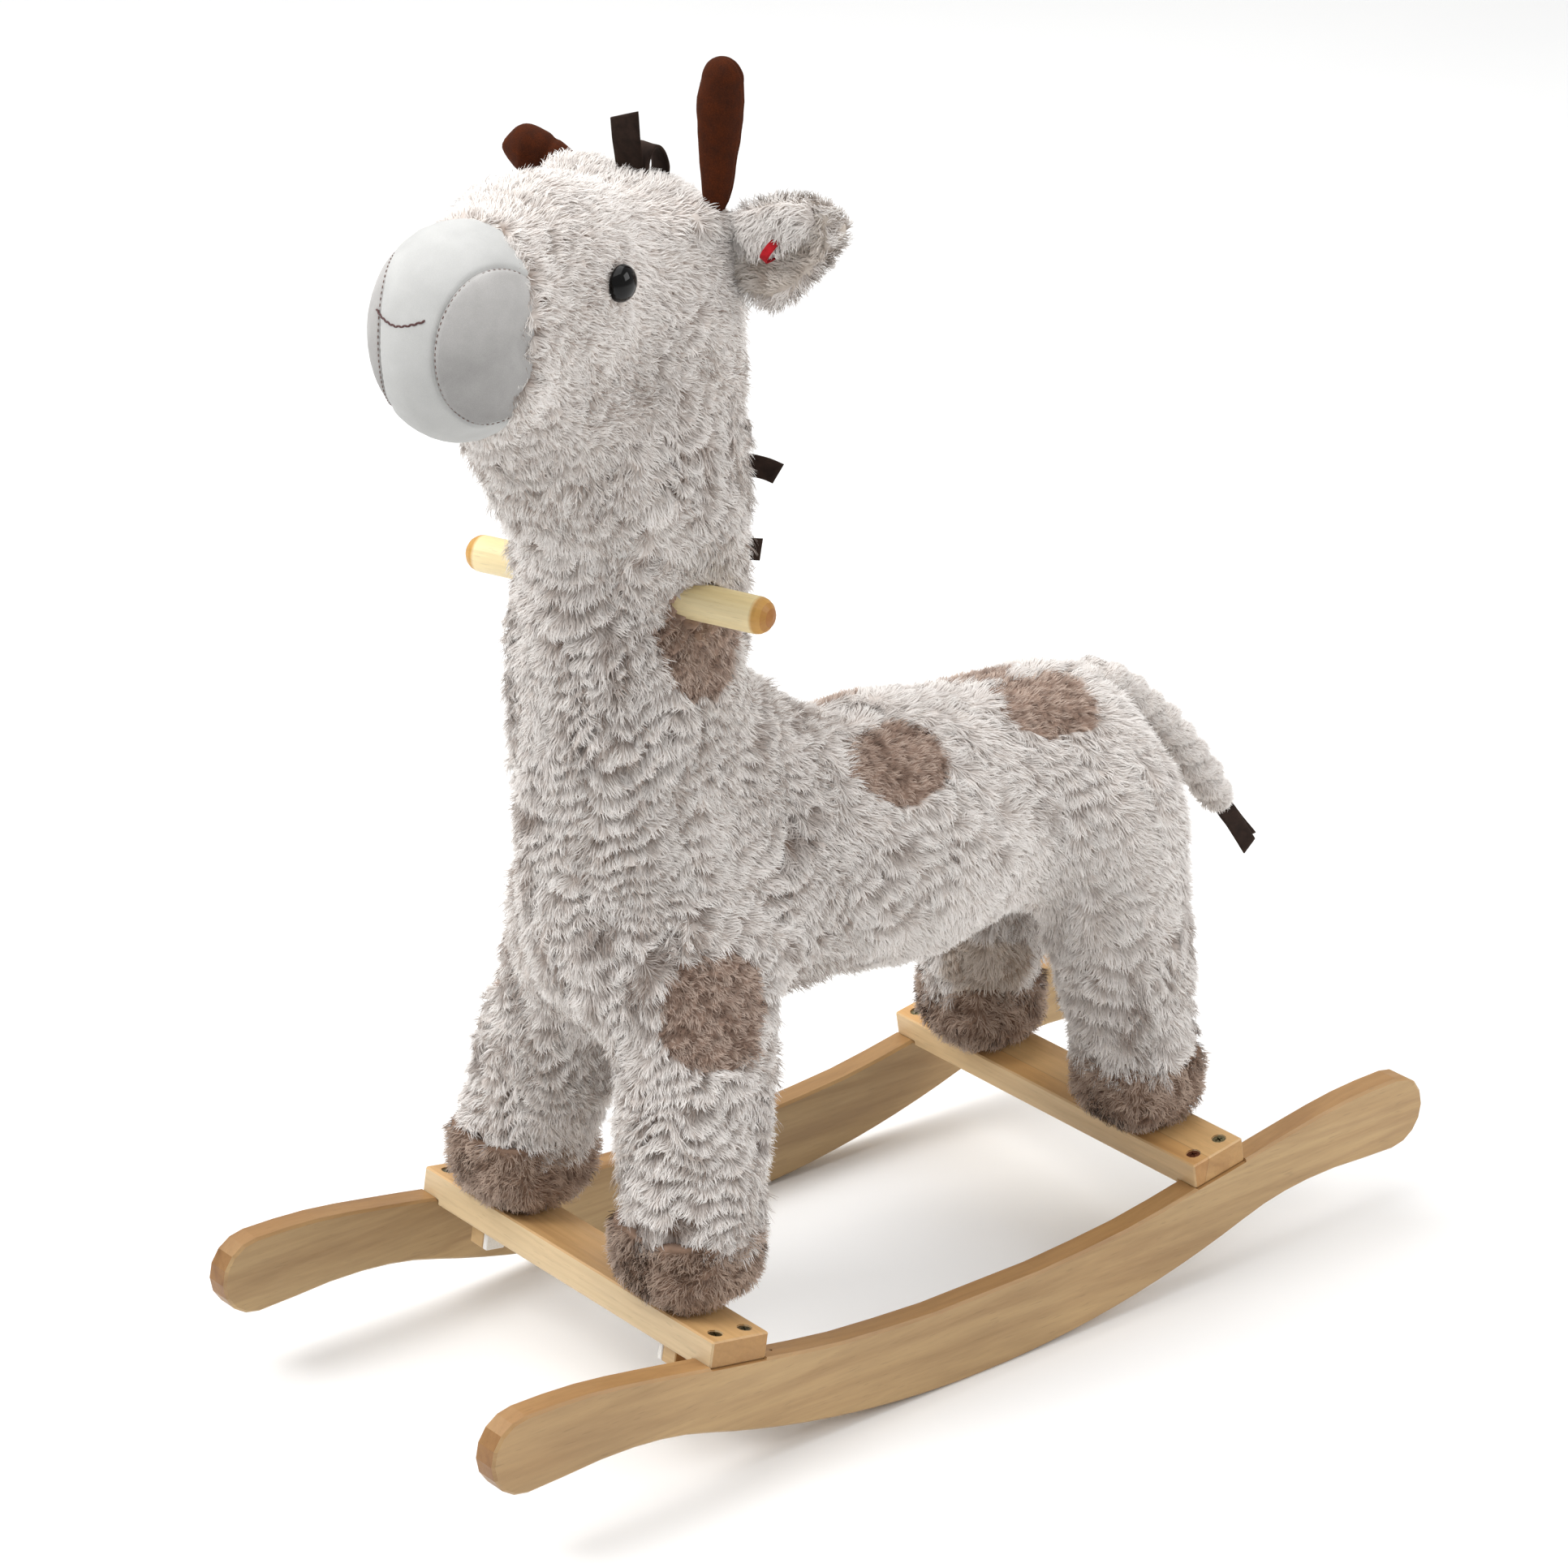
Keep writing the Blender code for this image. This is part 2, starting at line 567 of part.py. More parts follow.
# Muzzle: three sewn panels
for name, colour, low, high in (
    ("muzzle_centre", (0.85, 0.85, 0.83), -MUZZLE_SEAM + GAP / 2, MUZZLE_SEAM - GAP / 2),
    ("muzzle_side_left", (0.55, 0.55, 0.54), MUZZLE_SEAM + GAP / 2, 90),
    ("muzzle_side_right", (0.55, 0.55, 0.54), -90, -MUZZLE_SEAM - GAP / 2),
):
    panel = bored(name, colour, egg(name, *MUZZLE, 0.0, 18, 12), here())
    combine(panel, cutter(name + "_span", box("span", (low, -260, 600), (high, -60, 800)), here()), "INTERSECT")
    combine(panel, cutter(name + "_hollow", egg("hollow", *MUZZLE, -WALL, 12, 8), here()))
    for k, (centre, radii) in enumerate(HEAD[:3]):
        combine(panel, cutter(f"{name}_back_{k}", egg("back", centre, radii, 0.6, 16, 9), here()))

stitch = []
for i in range(13):
    t = -1 + i / 6
    x, z = 17.0 * t, 718.5 + 8.0 * t * t
    c, r = MUZZLE
    stitch.append((x, c[1] - r[1] * math.sqrt(1 - (x / r[0]) ** 2 - ((z - c[2]) / r[2]) ** 2) - 1.2, z))


def tube(name, points, radii, around=10, cap=3):
    """Round rod along a line of points, mm, with domed ends, made from a bevelled curve."""
    curve = bpy.data.curves.new(name + "_line", "CURVE")
    curve.dimensions = "3D"
    curve.bevel_depth = MM
    curve.bevel_resolution = max((around - 4) // 2, 0)
    curve.resolution_u = 3
    curve.use_fill_caps = True
    spline = curve.splines.new("POLY")
    spline.points.add(len(points) - 1)
    for point, co, r in zip(spline.points, points, radii):
        point.co = (*(Vector(co) * MM), 1)
        point.radius = r
    holder = bpy.data.objects.new(name + "_line", curve)
    scene.collection.objects.link(holder)
    bpy.context.view_layer.update()
    graph = bpy.context.evaluated_depsgraph_get()
    mesh = bpy.data.meshes.new_from_object(holder.evaluated_get(graph))
    bpy.data.objects.remove(holder)
    bm = bmesh.new()
    bm.from_mesh(mesh)
    return finish_mesh(bm, name)


node(
    "mouth_stitch",
    tube("mouth_stitch", stitch, [0.8] * len(stitch), 6),
    (0.12, 0.02, 0.02),
    matrix=here(),
    smooth=True,
)

# Ears, hinged at the side of the head
for side, s in SIDES:
    hinge = Vector((s * EAR_HINGE[0], EAR_HINGE[1], EAR_HINGE[2]))
    rings = []
    for out, high, thick in EAR_LINE:
        turns = [2 * math.pi * i / 14 for i in range(14)]
        rings.append([(s * out, thick * math.cos(a), high * math.sin(a)) for a in turns])
    bored(f"ear_{side}", CREAM, loft(f"ear_{side}", rings), here(hinge))
tag_path = [(80.0, 11.8, 712.0), (84.0, 10.6, 713.0), (89.0, 10.0, 716.0), (93.0, 10.3, 721.0), (95.0, 11.2, 727.0)]
tag_path = [(x, y - 1.2, z) for x, y, z in tag_path]
node("ear_tag", ribbon("ear_tag", tag_path, 7.0, 1.0, (-0.5, 0, 1)), (0.5, 0.0, 0.01), matrix=here())

# Horns: the left one stands, the right one flops outwards
horn_line = [(0, -9.0), (5.6, -7.0), (8.6, -2.6), (9.4, 3.0), (9.6, 18.0), (11.4, 38.0), (12.2, 50.0), (11.0, 59.0), (7.0, 65.0), (0, 67.5)]
left_foot = Vector(HORN_FOOT)
lean = (Vector((57.0, 16.0, 812.0)) - left_foot).to_track_quat("Z", "Y").to_matrix().to_4x4()
horn_mesh = turned("horn_left", horn_line, 14)
horn_mesh.transform(lean)
bored("horn_left", BROWN, horn_mesh, here(left_foot))
right_foot = Vector((-HORN_FOOT[0], HORN_FOOT[1], HORN_FOOT[2]))
bend, tip = Vector((-8.0, -13.0, 21.0)), Vector((-20.0, -22.0, 7.0))
horn = bored("horn_right", BROWN, capsule("horn_right", (0, 0, 0), bend, 9.0, 11.0, 14, 3), here(right_foot))
combine(horn, cutter("horn_right_tip", capsule("horn_right_tip", bend, tip, 11.0, 11.5, 14, 3), here(right_foot)), "UNION")

# Braided tail with a tuft of strips, hinged at the rump
hinge = Vector(TAIL_LINE[0])
line = [Vector(p) - hinge for p in TAIL_LINE]
tail = bored("tail_braid", CREAM, capsule("tail_braid", line[0], line[1], TAIL_R - 1, TAIL_R, 12, 3), Matrix.Translation(hinge * MM))
combine(
    tail,
    cutter("tail_lower", capsule("tail_lower", line[1], line[2], TAIL_R, TAIL_R, 12, 3), Matrix.Translation(hinge * MM)),
    "UNION",
)
drop = (line[2] - line[1]).normalized()
end = line[2] + drop * (TAIL_R + 0.6)
tuft_path = [end + drop * d + Vector((0, -0.06, -0.05)) * (d * d / 60) for d in (0, 12, 26, 40, 52)]
node("tail_tuft", ribbon("tail_tuft", tuft_path, 12.0, 6.0, (1, 0, 0)), DARK, matrix=Matrix.Translation(hinge * MM))

# Ribbons of the forelock and the mane
fore_front = [(0, 8.0, 757.5), (0, 5.0, 767.0), (0, 1.5, 776.0), (0, 0.0, 784.0)]
fore_back = [(0, 9.5, 757.5), (0, 14.0, 766.0), (0, 21.0, 770.0), (0, 29.0, 768.0)]
fore = node("forelock_ribbons", ribbon("forelock_ribbons", fore_front, 15, 2.2, (1, 0.2, 0)), DARK, matrix=here())
combine(
    fore,
    cutter("forelock_back", ribbon("forelock_back", fore_back, 14, 2.2, (1, -0.2, 0)), here()),
    "UNION",
)
for name, z, drop_z in (("mane_ribbon_upper", 557.0, -4.0), ("mane_ribbon_lower", 506.0, 0.0)):
    path = [(-6.0, 69.5, z), (8.0, 72.0, z), (22.0, 80.0, z + drop_z / 2), (36.0, 86.0, z + drop_z), (44.0, 89.0, z + drop_z * 1.6)]
    node(name, ribbon(name, path, 14.0, 2.0, (0, 0, 1)), DARK, matrix=here())

# Corner blocks with plastic caps under the front crossbar
for side, s in SIDES:
    low, high = -BAR_THICK / 2 - GAP - 15.0, -BAR_THICK / 2 - GAP
    block = sorted((s * 90.6, s * 103.0))
    cap = sorted((s * 86.3, s * 90.3))
    rounded(
        node(
            f"corner_block_{side}",
            box("block", (block[0], -12.0, low), (block[1], 2.0, high)),
            FRAME_WOOD,
            matrix=bar_frame(-1),
        ),
        0.6,
    )
    rounded(
        node(
            f"block_cap_{side}",
            box("cap", (cap[0], -12.0, low), (cap[1], 2.0, high)),
            (0.85, 0.85, 0.83),
            matrix=bar_frame(-1),
        ),
        0.5,
    )

bpy.context.view_layer.update()
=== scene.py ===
import math

import bpy
import numpy as np
from mathutils import Matrix, Vector, kdtree


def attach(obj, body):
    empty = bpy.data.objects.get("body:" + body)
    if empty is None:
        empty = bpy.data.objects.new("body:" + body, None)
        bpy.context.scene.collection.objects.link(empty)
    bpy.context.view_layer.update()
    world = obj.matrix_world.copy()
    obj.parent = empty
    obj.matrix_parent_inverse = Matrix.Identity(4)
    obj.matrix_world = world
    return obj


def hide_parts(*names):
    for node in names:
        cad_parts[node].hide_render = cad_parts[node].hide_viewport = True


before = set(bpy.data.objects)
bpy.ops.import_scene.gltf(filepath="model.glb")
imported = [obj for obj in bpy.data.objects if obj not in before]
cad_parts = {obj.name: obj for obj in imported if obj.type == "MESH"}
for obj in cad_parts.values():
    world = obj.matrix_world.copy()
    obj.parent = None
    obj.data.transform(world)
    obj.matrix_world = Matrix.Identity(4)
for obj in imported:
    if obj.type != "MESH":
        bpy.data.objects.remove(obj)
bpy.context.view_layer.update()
scene = bpy.context.scene
MAIN = "frame"

# ---------------------------------------------------------------- the view
camera_data = bpy.data.cameras.new("camera")
camera_data.lens = 117.39
camera_data.sensor_width = 36.0
camera_data.clip_start, camera_data.clip_end = 0.1, 40.0
camera = bpy.data.objects.new("camera", camera_data)
camera.location = (2.2055, -1.8174, 1.5372)
camera.rotation_euler = (math.radians(90 - 22.719), 0.0, math.radians(51.1638))
scene.collection.objects.link(camera)
scene.camera = camera
scene.view_settings.view_transform = "Standard"
scene.view_settings.look = "None"
scene.view_settings.exposure = 0.0

# ---------------------------------------------------------------- numbers
TURN = math.radians(19.0)
C19, S19 = math.cos(TURN), math.sin(TURN)
NECK_Y = -157.0


def to_local(p):
    """World millimetres to the turned frame of the neck and head."""
    p = np.asarray(p, float)
    x, y = p[..., 0], p[..., 1] - NECK_Y
    return np.stack([x * C19 + y * S19, -x * S19 + y * C19, p[..., 2]], -1)


def to_world(p):
    p = np.asarray(p, float)
    x, y = p[..., 0], p[..., 1]
    return np.stack([x * C19 - y * S19, NECK_Y + x * S19 + y * C19, p[..., 2]], -1)


def turned_dir(d):
    d = np.asarray(d, float)
    return np.stack([d[..., 0] * C19 - d[..., 1] * S19, d[..., 0] * S19 + d[..., 1] * C19, d[..., 2]], -1)


def unit(v):
    v = np.asarray(v, float)
    return v / np.maximum(np.linalg.norm(v, axis=-1, keepdims=True), 1e-9)


def srgb(r, g, b):
    """Linear colour of an 8-bit screen colour."""
    out = []
    for c in (r, g, b):
        c /= 255.0
        out.append(c / 12.92 if c <= 0.04045 else ((c + 0.055) / 1.055) ** 2.4)
    return np.array(out)


# ---------------------------------------------------------------- noise
def lattice(seed):
    return np.random.default_rng(seed).random((32, 32, 32)) * 2 - 1


LATTICES = {}


def noise(p, size, seed=0):
    """Smooth noise from -1 to 1, with features of this size in millimetres."""
    if seed not in LATTICES:
        LATTICES[seed] = lattice(seed)
    table = LATTICES[seed]
    q = np.asarray(p, float) / size + 100.0
    low = np.floor(q).astype(int)
    f = q - low
    f = f * f * (3 - 2 * f)
    low %= 32
    high = (low + 1) % 32
    total = 0.0
    for i in (0, 1):
        for j in (0, 1):
            for k in (0, 1):
                ix = high[..., 0] if i else low[..., 0]
                iy = high[..., 1] if j else low[..., 1]
                iz = high[..., 2] if k else low[..., 2]
                w = (f[..., 0] if i else 1 - f[..., 0]) * (f[..., 1] if j else 1 - f[..., 1]) * (f[..., 2] if k else 1 - f[..., 2])
                total = total + w * table[ix, iy, iz]
    return total


def cells(p, size, seed):
    """For each point, the nearest of the points jittered in a grid of this pitch, three random numbers that belong to it, and how much further the next one is."""
    p = np.asarray(p, float)
    table = np.random.default_rng(seed).random((64, 64, 64, 3))
    own = np.random.default_rng(seed + 1).random((64, 64, 64, 3))
    base = np.floor(p / size).astype(int)
    best = np.full(len(p), 1e18)
    second = np.full(len(p), 1e18)
    centre = np.zeros((len(p), 3))
    value = np.zeros((len(p), 3))
    for i in (-1, 0, 1):
        for j in (-1, 0, 1):
            for k in (-1, 0, 1):
                cell = base + (i, j, k)
                w = cell % 64
                jitter = table[w[:, 0], w[:, 1], w[:, 2]]
                point = (cell + 0.1 + 0.8 * jitter) * size
                d = ((point - p) ** 2).sum(-1)
                nearer = d < best
                second = np.where(nearer, best, np.minimum(second, d))
                best[nearer] = d[nearer]
                centre[nearer] = point[nearer]
                value[nearer] = own[w[:, 0], w[:, 1], w[:, 2]][nearer]
    return centre, value, np.sqrt(second) - np.sqrt(best)


# ---------------------------------------------------------------- shapes as distances
def smin(a, b, k):
    h = np.clip(0.5 + 0.5 * (b - a) / k, 0, 1)
    return b * (1 - h) + a * h - k * h * (1 - h)


def rcone(p, a, b, ra, rb):
    a, b = np.array(a, float), np.array(b, float)
    along = b - a
    t = np.clip(((p - a) @ along) / (along @ along), 0, 1)
    return np.linalg.norm(p - a - t[..., None] * along, axis=-1) - (ra + (rb - ra) * t)


def ellipsoid(p, centre, radii):
    centre, radii = np.array(centre, float), np.array(radii, float)
    q = (p - centre) / radii
    k = np.linalg.norm(q, axis=-1)
    g = np.linalg.norm(q / radii, axis=-1) + 1e-9
    return k * (k - 1) / g


def mirrored(p):
    q = np.array(p, float)
    q[..., 0] = np.abs(q[..., 0])
    return q


MUZZLE_AT, MUZZLE_R = (0.0, -157.0, 701.5), (49.0, 54.5, 60.5)


def muzzle_distance(p):
    return ellipsoid(to_local(p), MUZZLE_AT, MUZZLE_R)


def head_distance(local):
    m = mirrored(local)
    d = smin(ellipsoid(m, (0, -12, 687), (66, 72, 66)), ellipsoid(m, (0, -87, 708), (60, 77, 65)), 22)
    d = smin(d, ellipsoid(m, (0, 4, 706), (66.5, 54, 45)), 14)
    d = smin(d, rcone(m, (0, -118, 670), (0, -42, 603), 43, 62), 20)
    d = smin(d, ellipsoid(local, (-34, 2, 746), (24, 26, 13)), 12)
    d = smin(d, ellipsoid(local, (50, 6, 729), (18, 22, 14)), 12)
    # The pile closes round the muzzle, and stops at a line that runs further forward at the sides
    d = smin(d, ellipsoid(m, np.array(MUZZLE_AT), np.array(MUZZLE_R) + 7.6), 12)
    return np.maximum(d, muzzle_line(m) - local[..., 1])


def muzzle_line(m):
    """How far forward the pile reaches round the muzzle."""
    return -np.interp(m[..., 2], (636, 652, 670, 689, 706, 722, 738, 752, 766), (146, 159, 169, 170, 167, 162, 156, 149, 145))


def leg_distance(p):
    m = mirrored(p)
    front = rcone(m, (81, -177, 142), (45, -145, 278), 45, 54)
    rear = rcone(m, (75, 182, 142), (50, 173, 284), 40, 58)
    return front, rear


HOOF = ((82.0, -181.5, 126.0), (75.5, 184.0, 126.0))


def hoof_distance(p):
    m = mirrored(p)
    out = []
    for centre, wide in zip(HOOF, (43.2, 40.0)):
        q = (m - np.array(centre)) / np.array((wide, wide, 40.0))
        k = (np.abs(q) ** 3.2).sum(-1) ** 0.3125
        out.append((k - 1) * (wide - 2.5))
    return out


def plush_distance(p):
    """The pile's outer face for body, legs, neck and head, without the hooves and the muzzle."""
    p = np.asarray(p, float)
    torso = smin(rcone(p, (0, -102, 306), (0, 30, 305), 77, 82.5), rcone(p, (0, 30, 304), (0, 163, 305), 82, 77), 30)
    front, rear = leg_distance(p)
    d = smin(smin(torso, front, 24), rear, 28)
    local = to_local(p)
    d = smin(d, rcone(local, (0, 0, 300), (0, 0, 640), 71, 69.5), 36)
    d = smin(d, rcone(p, (0, -92, 384), (0, -30, 340), 52, 46), 30)
    d = smin(d, head_distance(local), 28)
    # Drawn in where the handle comes out
    grip = (mirrored(local) - np.array((54.0, -34.0, 512.0))) / np.array((26.0, 26.0, 23.0))
    d = d + np.where(local[..., 0] > 0, 21.0, 3.0) * np.exp(-(grip**2).sum(-1))
    return np.maximum(d, 118.0 - p[..., 2])


def gradient(field, p, h=0.6):
    p = np.asarray(p, float)
    out = np.empty_like(p)
    for k in range(3):
        step = np.zeros(3)
        step[k] = h
        out[..., k] = field(p + step) - field(p - step)
    return unit(out)


def surface(field, low, high, step):
    """A closed mesh of field = 0 by surface nets, settled on to the surface."""
    axes = [np.arange(a, b + step, step) for a, b in zip(low, high)]
    grid = np.stack(np.meshgrid(*axes, indexing="ij"), -1)
    d = np.empty(grid.shape[:3])
    for i in range(grid.shape[0]):
        d[i] = field(grid[i])
    inside = d < 0
    corner = [(i, j, k) for i in (0, 1) for j in (0, 1) for k in (0, 1)]
    shape = [n - 1 for n in d.shape]
    part = lambda a, c: a[c[0] : c[0] + shape[0], c[1] : c[1] + shape[1], c[2] : c[2] + shape[2]]
    count = sum(part(inside, c).astype(int) for c in corner)
    active = (count > 0) & (count < 8)
    index = np.full(shape, -1)
    index[active] = np.arange(active.sum())
    place, crossings = np.zeros((active.sum(), 3)), np.zeros(active.sum())
    at = np.argwhere(active)
    for a in corner:
        for axis in range(3):
            if a[axis]:
                continue
            b = list(a)
            b[axis] = 1
            da = part(d, a)[active]
            db = part(d, b)[active]
            cross = (da < 0) != (db < 0)
            t = np.where(cross, da / np.where(cross, da - db, 1), 0)
            point = at + np.array(a, float)
            point[:, axis] += t
            place[cross] += point[cross]
            crossings[cross] += 1
    verts = np.array(low) + place / crossings[:, None] * step
    faces = []
    for axis in range(3):
        u, v = (axis + 1) % 3, (axis + 2) % 3
        first = [slice(None)] * 3
        second = [slice(None)] * 3
        first[axis], second[axis] = slice(0, -1), slice(1, None)
        change = inside[tuple(first)] != inside[tuple(second)]
        where = np.argwhere(change)
        where = where[(where[:, u] > 0) & (where[:, v] > 0) & (where[:, u] < d.shape[u] - 1) & (where[:, v] < d.shape[v] - 1)]
        quad = []
        for du, dv in ((1, 1), (0, 1), (0, 0), (1, 0)):
            q = where.copy()
            q[:, u] -= du
            q[:, v] -= dv
            quad.append(index[tuple(q.T)])
        quad = np.stack(quad, 1)
        rising = inside[tuple(where.T)]
        quad[~rising] = quad[~rising][:, ::-1]
        faces.append(quad)
    faces = np.concatenate(faces)
    for _ in range(3):
        value = field(verts)
        verts = verts - gradient(field, verts) * np.clip(value, -step, step)[:, None]
    return verts, faces


# ---------------------------------------------------------------- mesh making
def make_mesh(name, verts, faces, materials=(), smooth=True, colours=None, slots=None, uv=None):
    """A mesh object from numpy arrays in millimetres. faces is (n, 3) or (n, 4)."""
    mesh = bpy.data.meshes.new(name)
    verts = np.asarray(verts, np.float64) / 1000.0
    faces = np.asarray(faces, np.int32)
    n, k = faces.shape
    mesh.vertices.add(len(verts))
    mesh.vertices.foreach_set("co", verts.astype(np.float32).ravel())
    mesh.loops.add(n * k)
    mesh.loops.foreach_set("vertex_index", faces.ravel())
    mesh.polygons.add(n)
    mesh.polygons.foreach_set("loop_start", np.arange(0, n * k, k, dtype=np.int32))
    mesh.polygons.foreach_set("loop_total", np.full(n, k, np.int32))
    for m in materials:
        mesh.materials.append(m)
    if slots is not None:
        mesh.polygons.foreach_set("material_index", np.asarray(slots, np.int32))
    if uv is not None:
        layer = mesh.uv_layers.new(name="OFBake")
        layer.data.foreach_set("uv", np.asarray(uv, np.float32).ravel())
    mesh.update(calc_edges=True)
    mesh.polygons.foreach_set("use_smooth", np.full(n, smooth))
    if colours is not None:
        attribute = mesh.color_attributes.new("Pile", "FLOAT_COLOR", "POINT")
        flat = np.ones((len(verts), 4), np.float32)
        flat[:, :3] = colours
        attribute.data.foreach_set("color", flat.ravel())
    mesh.validate()
    obj = bpy.data.objects.new(name, mesh)
    scene.collection.objects.link(obj)
    return obj


def grid_faces(rows, columns, wrap=True):
    """Quads between rows of points, counted row by row."""
    i, j = np.meshgrid(np.arange(rows - 1), np.arange(columns if wrap else columns - 1), indexing="ij")
    i, j = i.ravel(), j.ravel()
    k = (j + 1) % columns
    return np.stack([i * columns + j, i * columns + k, (i + 1) * columns + k, (i + 1) * columns + j], 1)


def tube(rings):
    """A closed skin over rings of equal counts, each end closed by a fan to its middle."""
    rings = np.asarray(rings, float)
    rows, columns = rings.shape[:2]
    verts = np.concatenate([rings.reshape(-1, 3), rings[0].mean(0)[None], rings[-1].mean(0)[None]])
    quads = grid_faces(rows, columns)
    j = np.arange(columns)
    k = (j + 1) % columns
    first = np.stack([k, j, np.full(columns, rows * columns), np.full(columns, rows * columns)], 1)
    last = np.stack([(rows - 1) * columns + j, (rows - 1) * columns + k, np.full(columns, rows * columns + 1), np.full(columns, rows * columns + 1)], 1)
    return verts, quads, np.concatenate([first, last])[:, :3]


def tube_piece(name, rings, materials, colours=None, smooth=True):
    verts, quads, ends = tube(rings)
    mesh = bpy.data.meshes.new(name)
    mesh.from_pydata((verts / 1000.0).tolist(), [], quads.tolist() + ends.tolist())
    for m in materials:
        mesh.materials.append(m)
    mesh.polygons.foreach_set("use_smooth", np.full(len(mesh.polygons), smooth))
    if colours is not None:
        attribute = mesh.color_attributes.new("Pile", "FLOAT_COLOR", "POINT")
        flat = np.ones((len(verts), 4), np.float32)
        flat[:, :3] = colours
        attribute.data.foreach_set("color", flat.ravel())
    mesh.update()
    obj = bpy.data.objects.new(name, mesh)
    scene.collection.objects.link(obj)
    return obj


def frames_along(path, hint):
    """Tangent, side and up at each point of a path, with the side kept near hint."""
    path = np.asarray(path, float)
    tangent = unit(np.gradient(path, axis=0))
    hint = np.asarray(hint, float)
    side = unit(hint - (tangent @ hint)[:, None] * tangent)
    return tangent, side, np.cross(tangent, side)


def smooth_path(points, count):
    """Points spaced evenly on a Catmull-Rom curve through these."""
    p = np.asarray(points, float)
    p = np.concatenate([[2 * p[0] - p[1]], p, [2 * p[-1] - p[-2]]])
    out = []
    for i in range(1, len(p) - 2):
        t = np.linspace(0, 1, 24, endpoint=False)[:, None]
        a, b, c, d = p[i - 1], p[i], p[i + 1], p[i + 2]
        out.append(0.5 * (2 * b + (c - a) * t + (2 * a - 5 * b + 4 * c - d) * t**2 + (3 * b - a - 3 * c + d) * t**3))
    out = np.concatenate(out + [p[-2][None]])
    along = np.concatenate([[0], np.cumsum(np.linalg.norm(np.diff(out, axis=0), axis=1))])
    at = np.linspace(0, along[-1], count)
    return np.stack([np.interp(at, along, out[:, k]) for k in range(3)], 1)


# ---------------------------------------------------------------- materials
class Nodes:
    """A short way to write a material's node tree."""

    def __init__(self, name):
        self.material = bpy.data.materials.new(name)
        self.material.use_nodes = True
        self.tree = self.material.node_tree
        self.tree.nodes.clear()
        self.out = self.tree.nodes.new("ShaderNodeOutputMaterial")
        self.shader = self.tree.nodes.new("ShaderNodeBsdfPrincipled")
        self.link(self.shader.outputs[0], self.out.inputs[0])

    def link(self, a, b):
        self.tree.links.new(a, b)

    def add(self, kind, **settings):
        n = self.tree.nodes.new(kind)
        for key, value in settings.items():
            setattr(n, key, value)
        return n

    def place(self, scale=(1, 1, 1), rotation=(0, 0, 0), kind="Object", location=(0, 0, 0)):
        coord = self.add("ShaderNodeTexCoord")
        mapping = self.add("ShaderNodeMapping")
        mapping.inputs["Scale"].default_value = scale
        mapping.inputs["Rotation"].default_value = rotation
        mapping.inputs["Location"].default_value = location
        self.link(coord.outputs[kind], mapping.inputs["Vector"])
        return mapping.outputs[0]

    def noise(self, vector, scale, detail=3.0, rough=0.55, distortion=0.0):
        n = self.add("ShaderNodeTexNoise")
        n.inputs["Scale"].default_value = scale
        n.inputs["Detail"].default_value = detail
        n.inputs["Roughness"].default_value = rough
        n.inputs["Distortion"].default_value = distortion
        self.link(vector, n.inputs["Vector"])
        return n.outputs[0]

    def ramp(self, value, stops):
        n = self.add("ShaderNodeValToRGB")
        e = n.color_ramp.elements
        while len(e) < len(stops):
            e.new(0.5)
        for item, (at, colour) in zip(e, stops):
            item.position = at
            c = (colour,) * 3 if np.isscalar(colour) else tuple(colour)
            item.color = (*c, 1.0)
        self.link(value, n.inputs[0])
        return n.outputs[0]

    def mix(self, a, b, factor, blend="MIX"):
        n = self.add("ShaderNodeMix", data_type="RGBA", blend_type=blend)
        for socket, value in ((n.inputs[6], a), (n.inputs[7], b), (n.inputs[0], factor)):
            if isinstance(value, bpy.types.NodeSocket):
                self.link(value, socket)
            elif np.isscalar(value):
                socket.default_value = value
            else:
                socket.default_value = (*tuple(value), 1.0)
        return n.outputs[2]

    def math(self, operation, a, b=0.0, clamp=False):
        n = self.add("ShaderNodeMath", operation=operation, use_clamp=clamp)
        for socket, value in zip(n.inputs, (a, b)):
            if isinstance(value, bpy.types.NodeSocket):
                self.link(value, socket)
            else:
                socket.default_value = value
        return n.outputs[0]

    def bump(self, height, strength, distance, normal=None):
        n = self.add("ShaderNodeBump")
        n.inputs["Strength"].default_value = strength
        n.inputs["Distance"].default_value = distance
        self.link(height, n.inputs["Height"])
        if normal is not None:
            self.link(normal, n.inputs["Normal"])
        return n.outputs[0]

    def set(self, **sockets):
        for key, value in sockets.items():
            socket = self.shader.inputs[key.replace("_", " ")]
            if isinstance(value, bpy.types.NodeSocket):
                self.link(value, socket)
            elif np.isscalar(value):
                socket.default_value = value
            else:
                socket.default_value = (*tuple(value), 1.0) if len(socket.default_value) == 4 else tuple(value)
        return self.material


def pile_material(name, rough=0.9, sheen=0.25):
    """Plush pile: its colour is kept on the mesh, from root to tip."""
    m = Nodes(name)
    colour = m.add("ShaderNodeAttribute", attribute_name="Pile").outputs["Color"]
    v = m.place()
    fine = m.noise(v, 260.0, 2.0)
    colour = m.mix(colour, m.ramp(fine, [(0.25, 0.86), (0.75, 1.0)]), 1.0, "MULTIPLY")
    return m.set(Base_Color=colour, Roughness=rough, Sheen_Weight=sheen, Sheen_Roughness=0.5, Specular_IOR_Level=0.15)


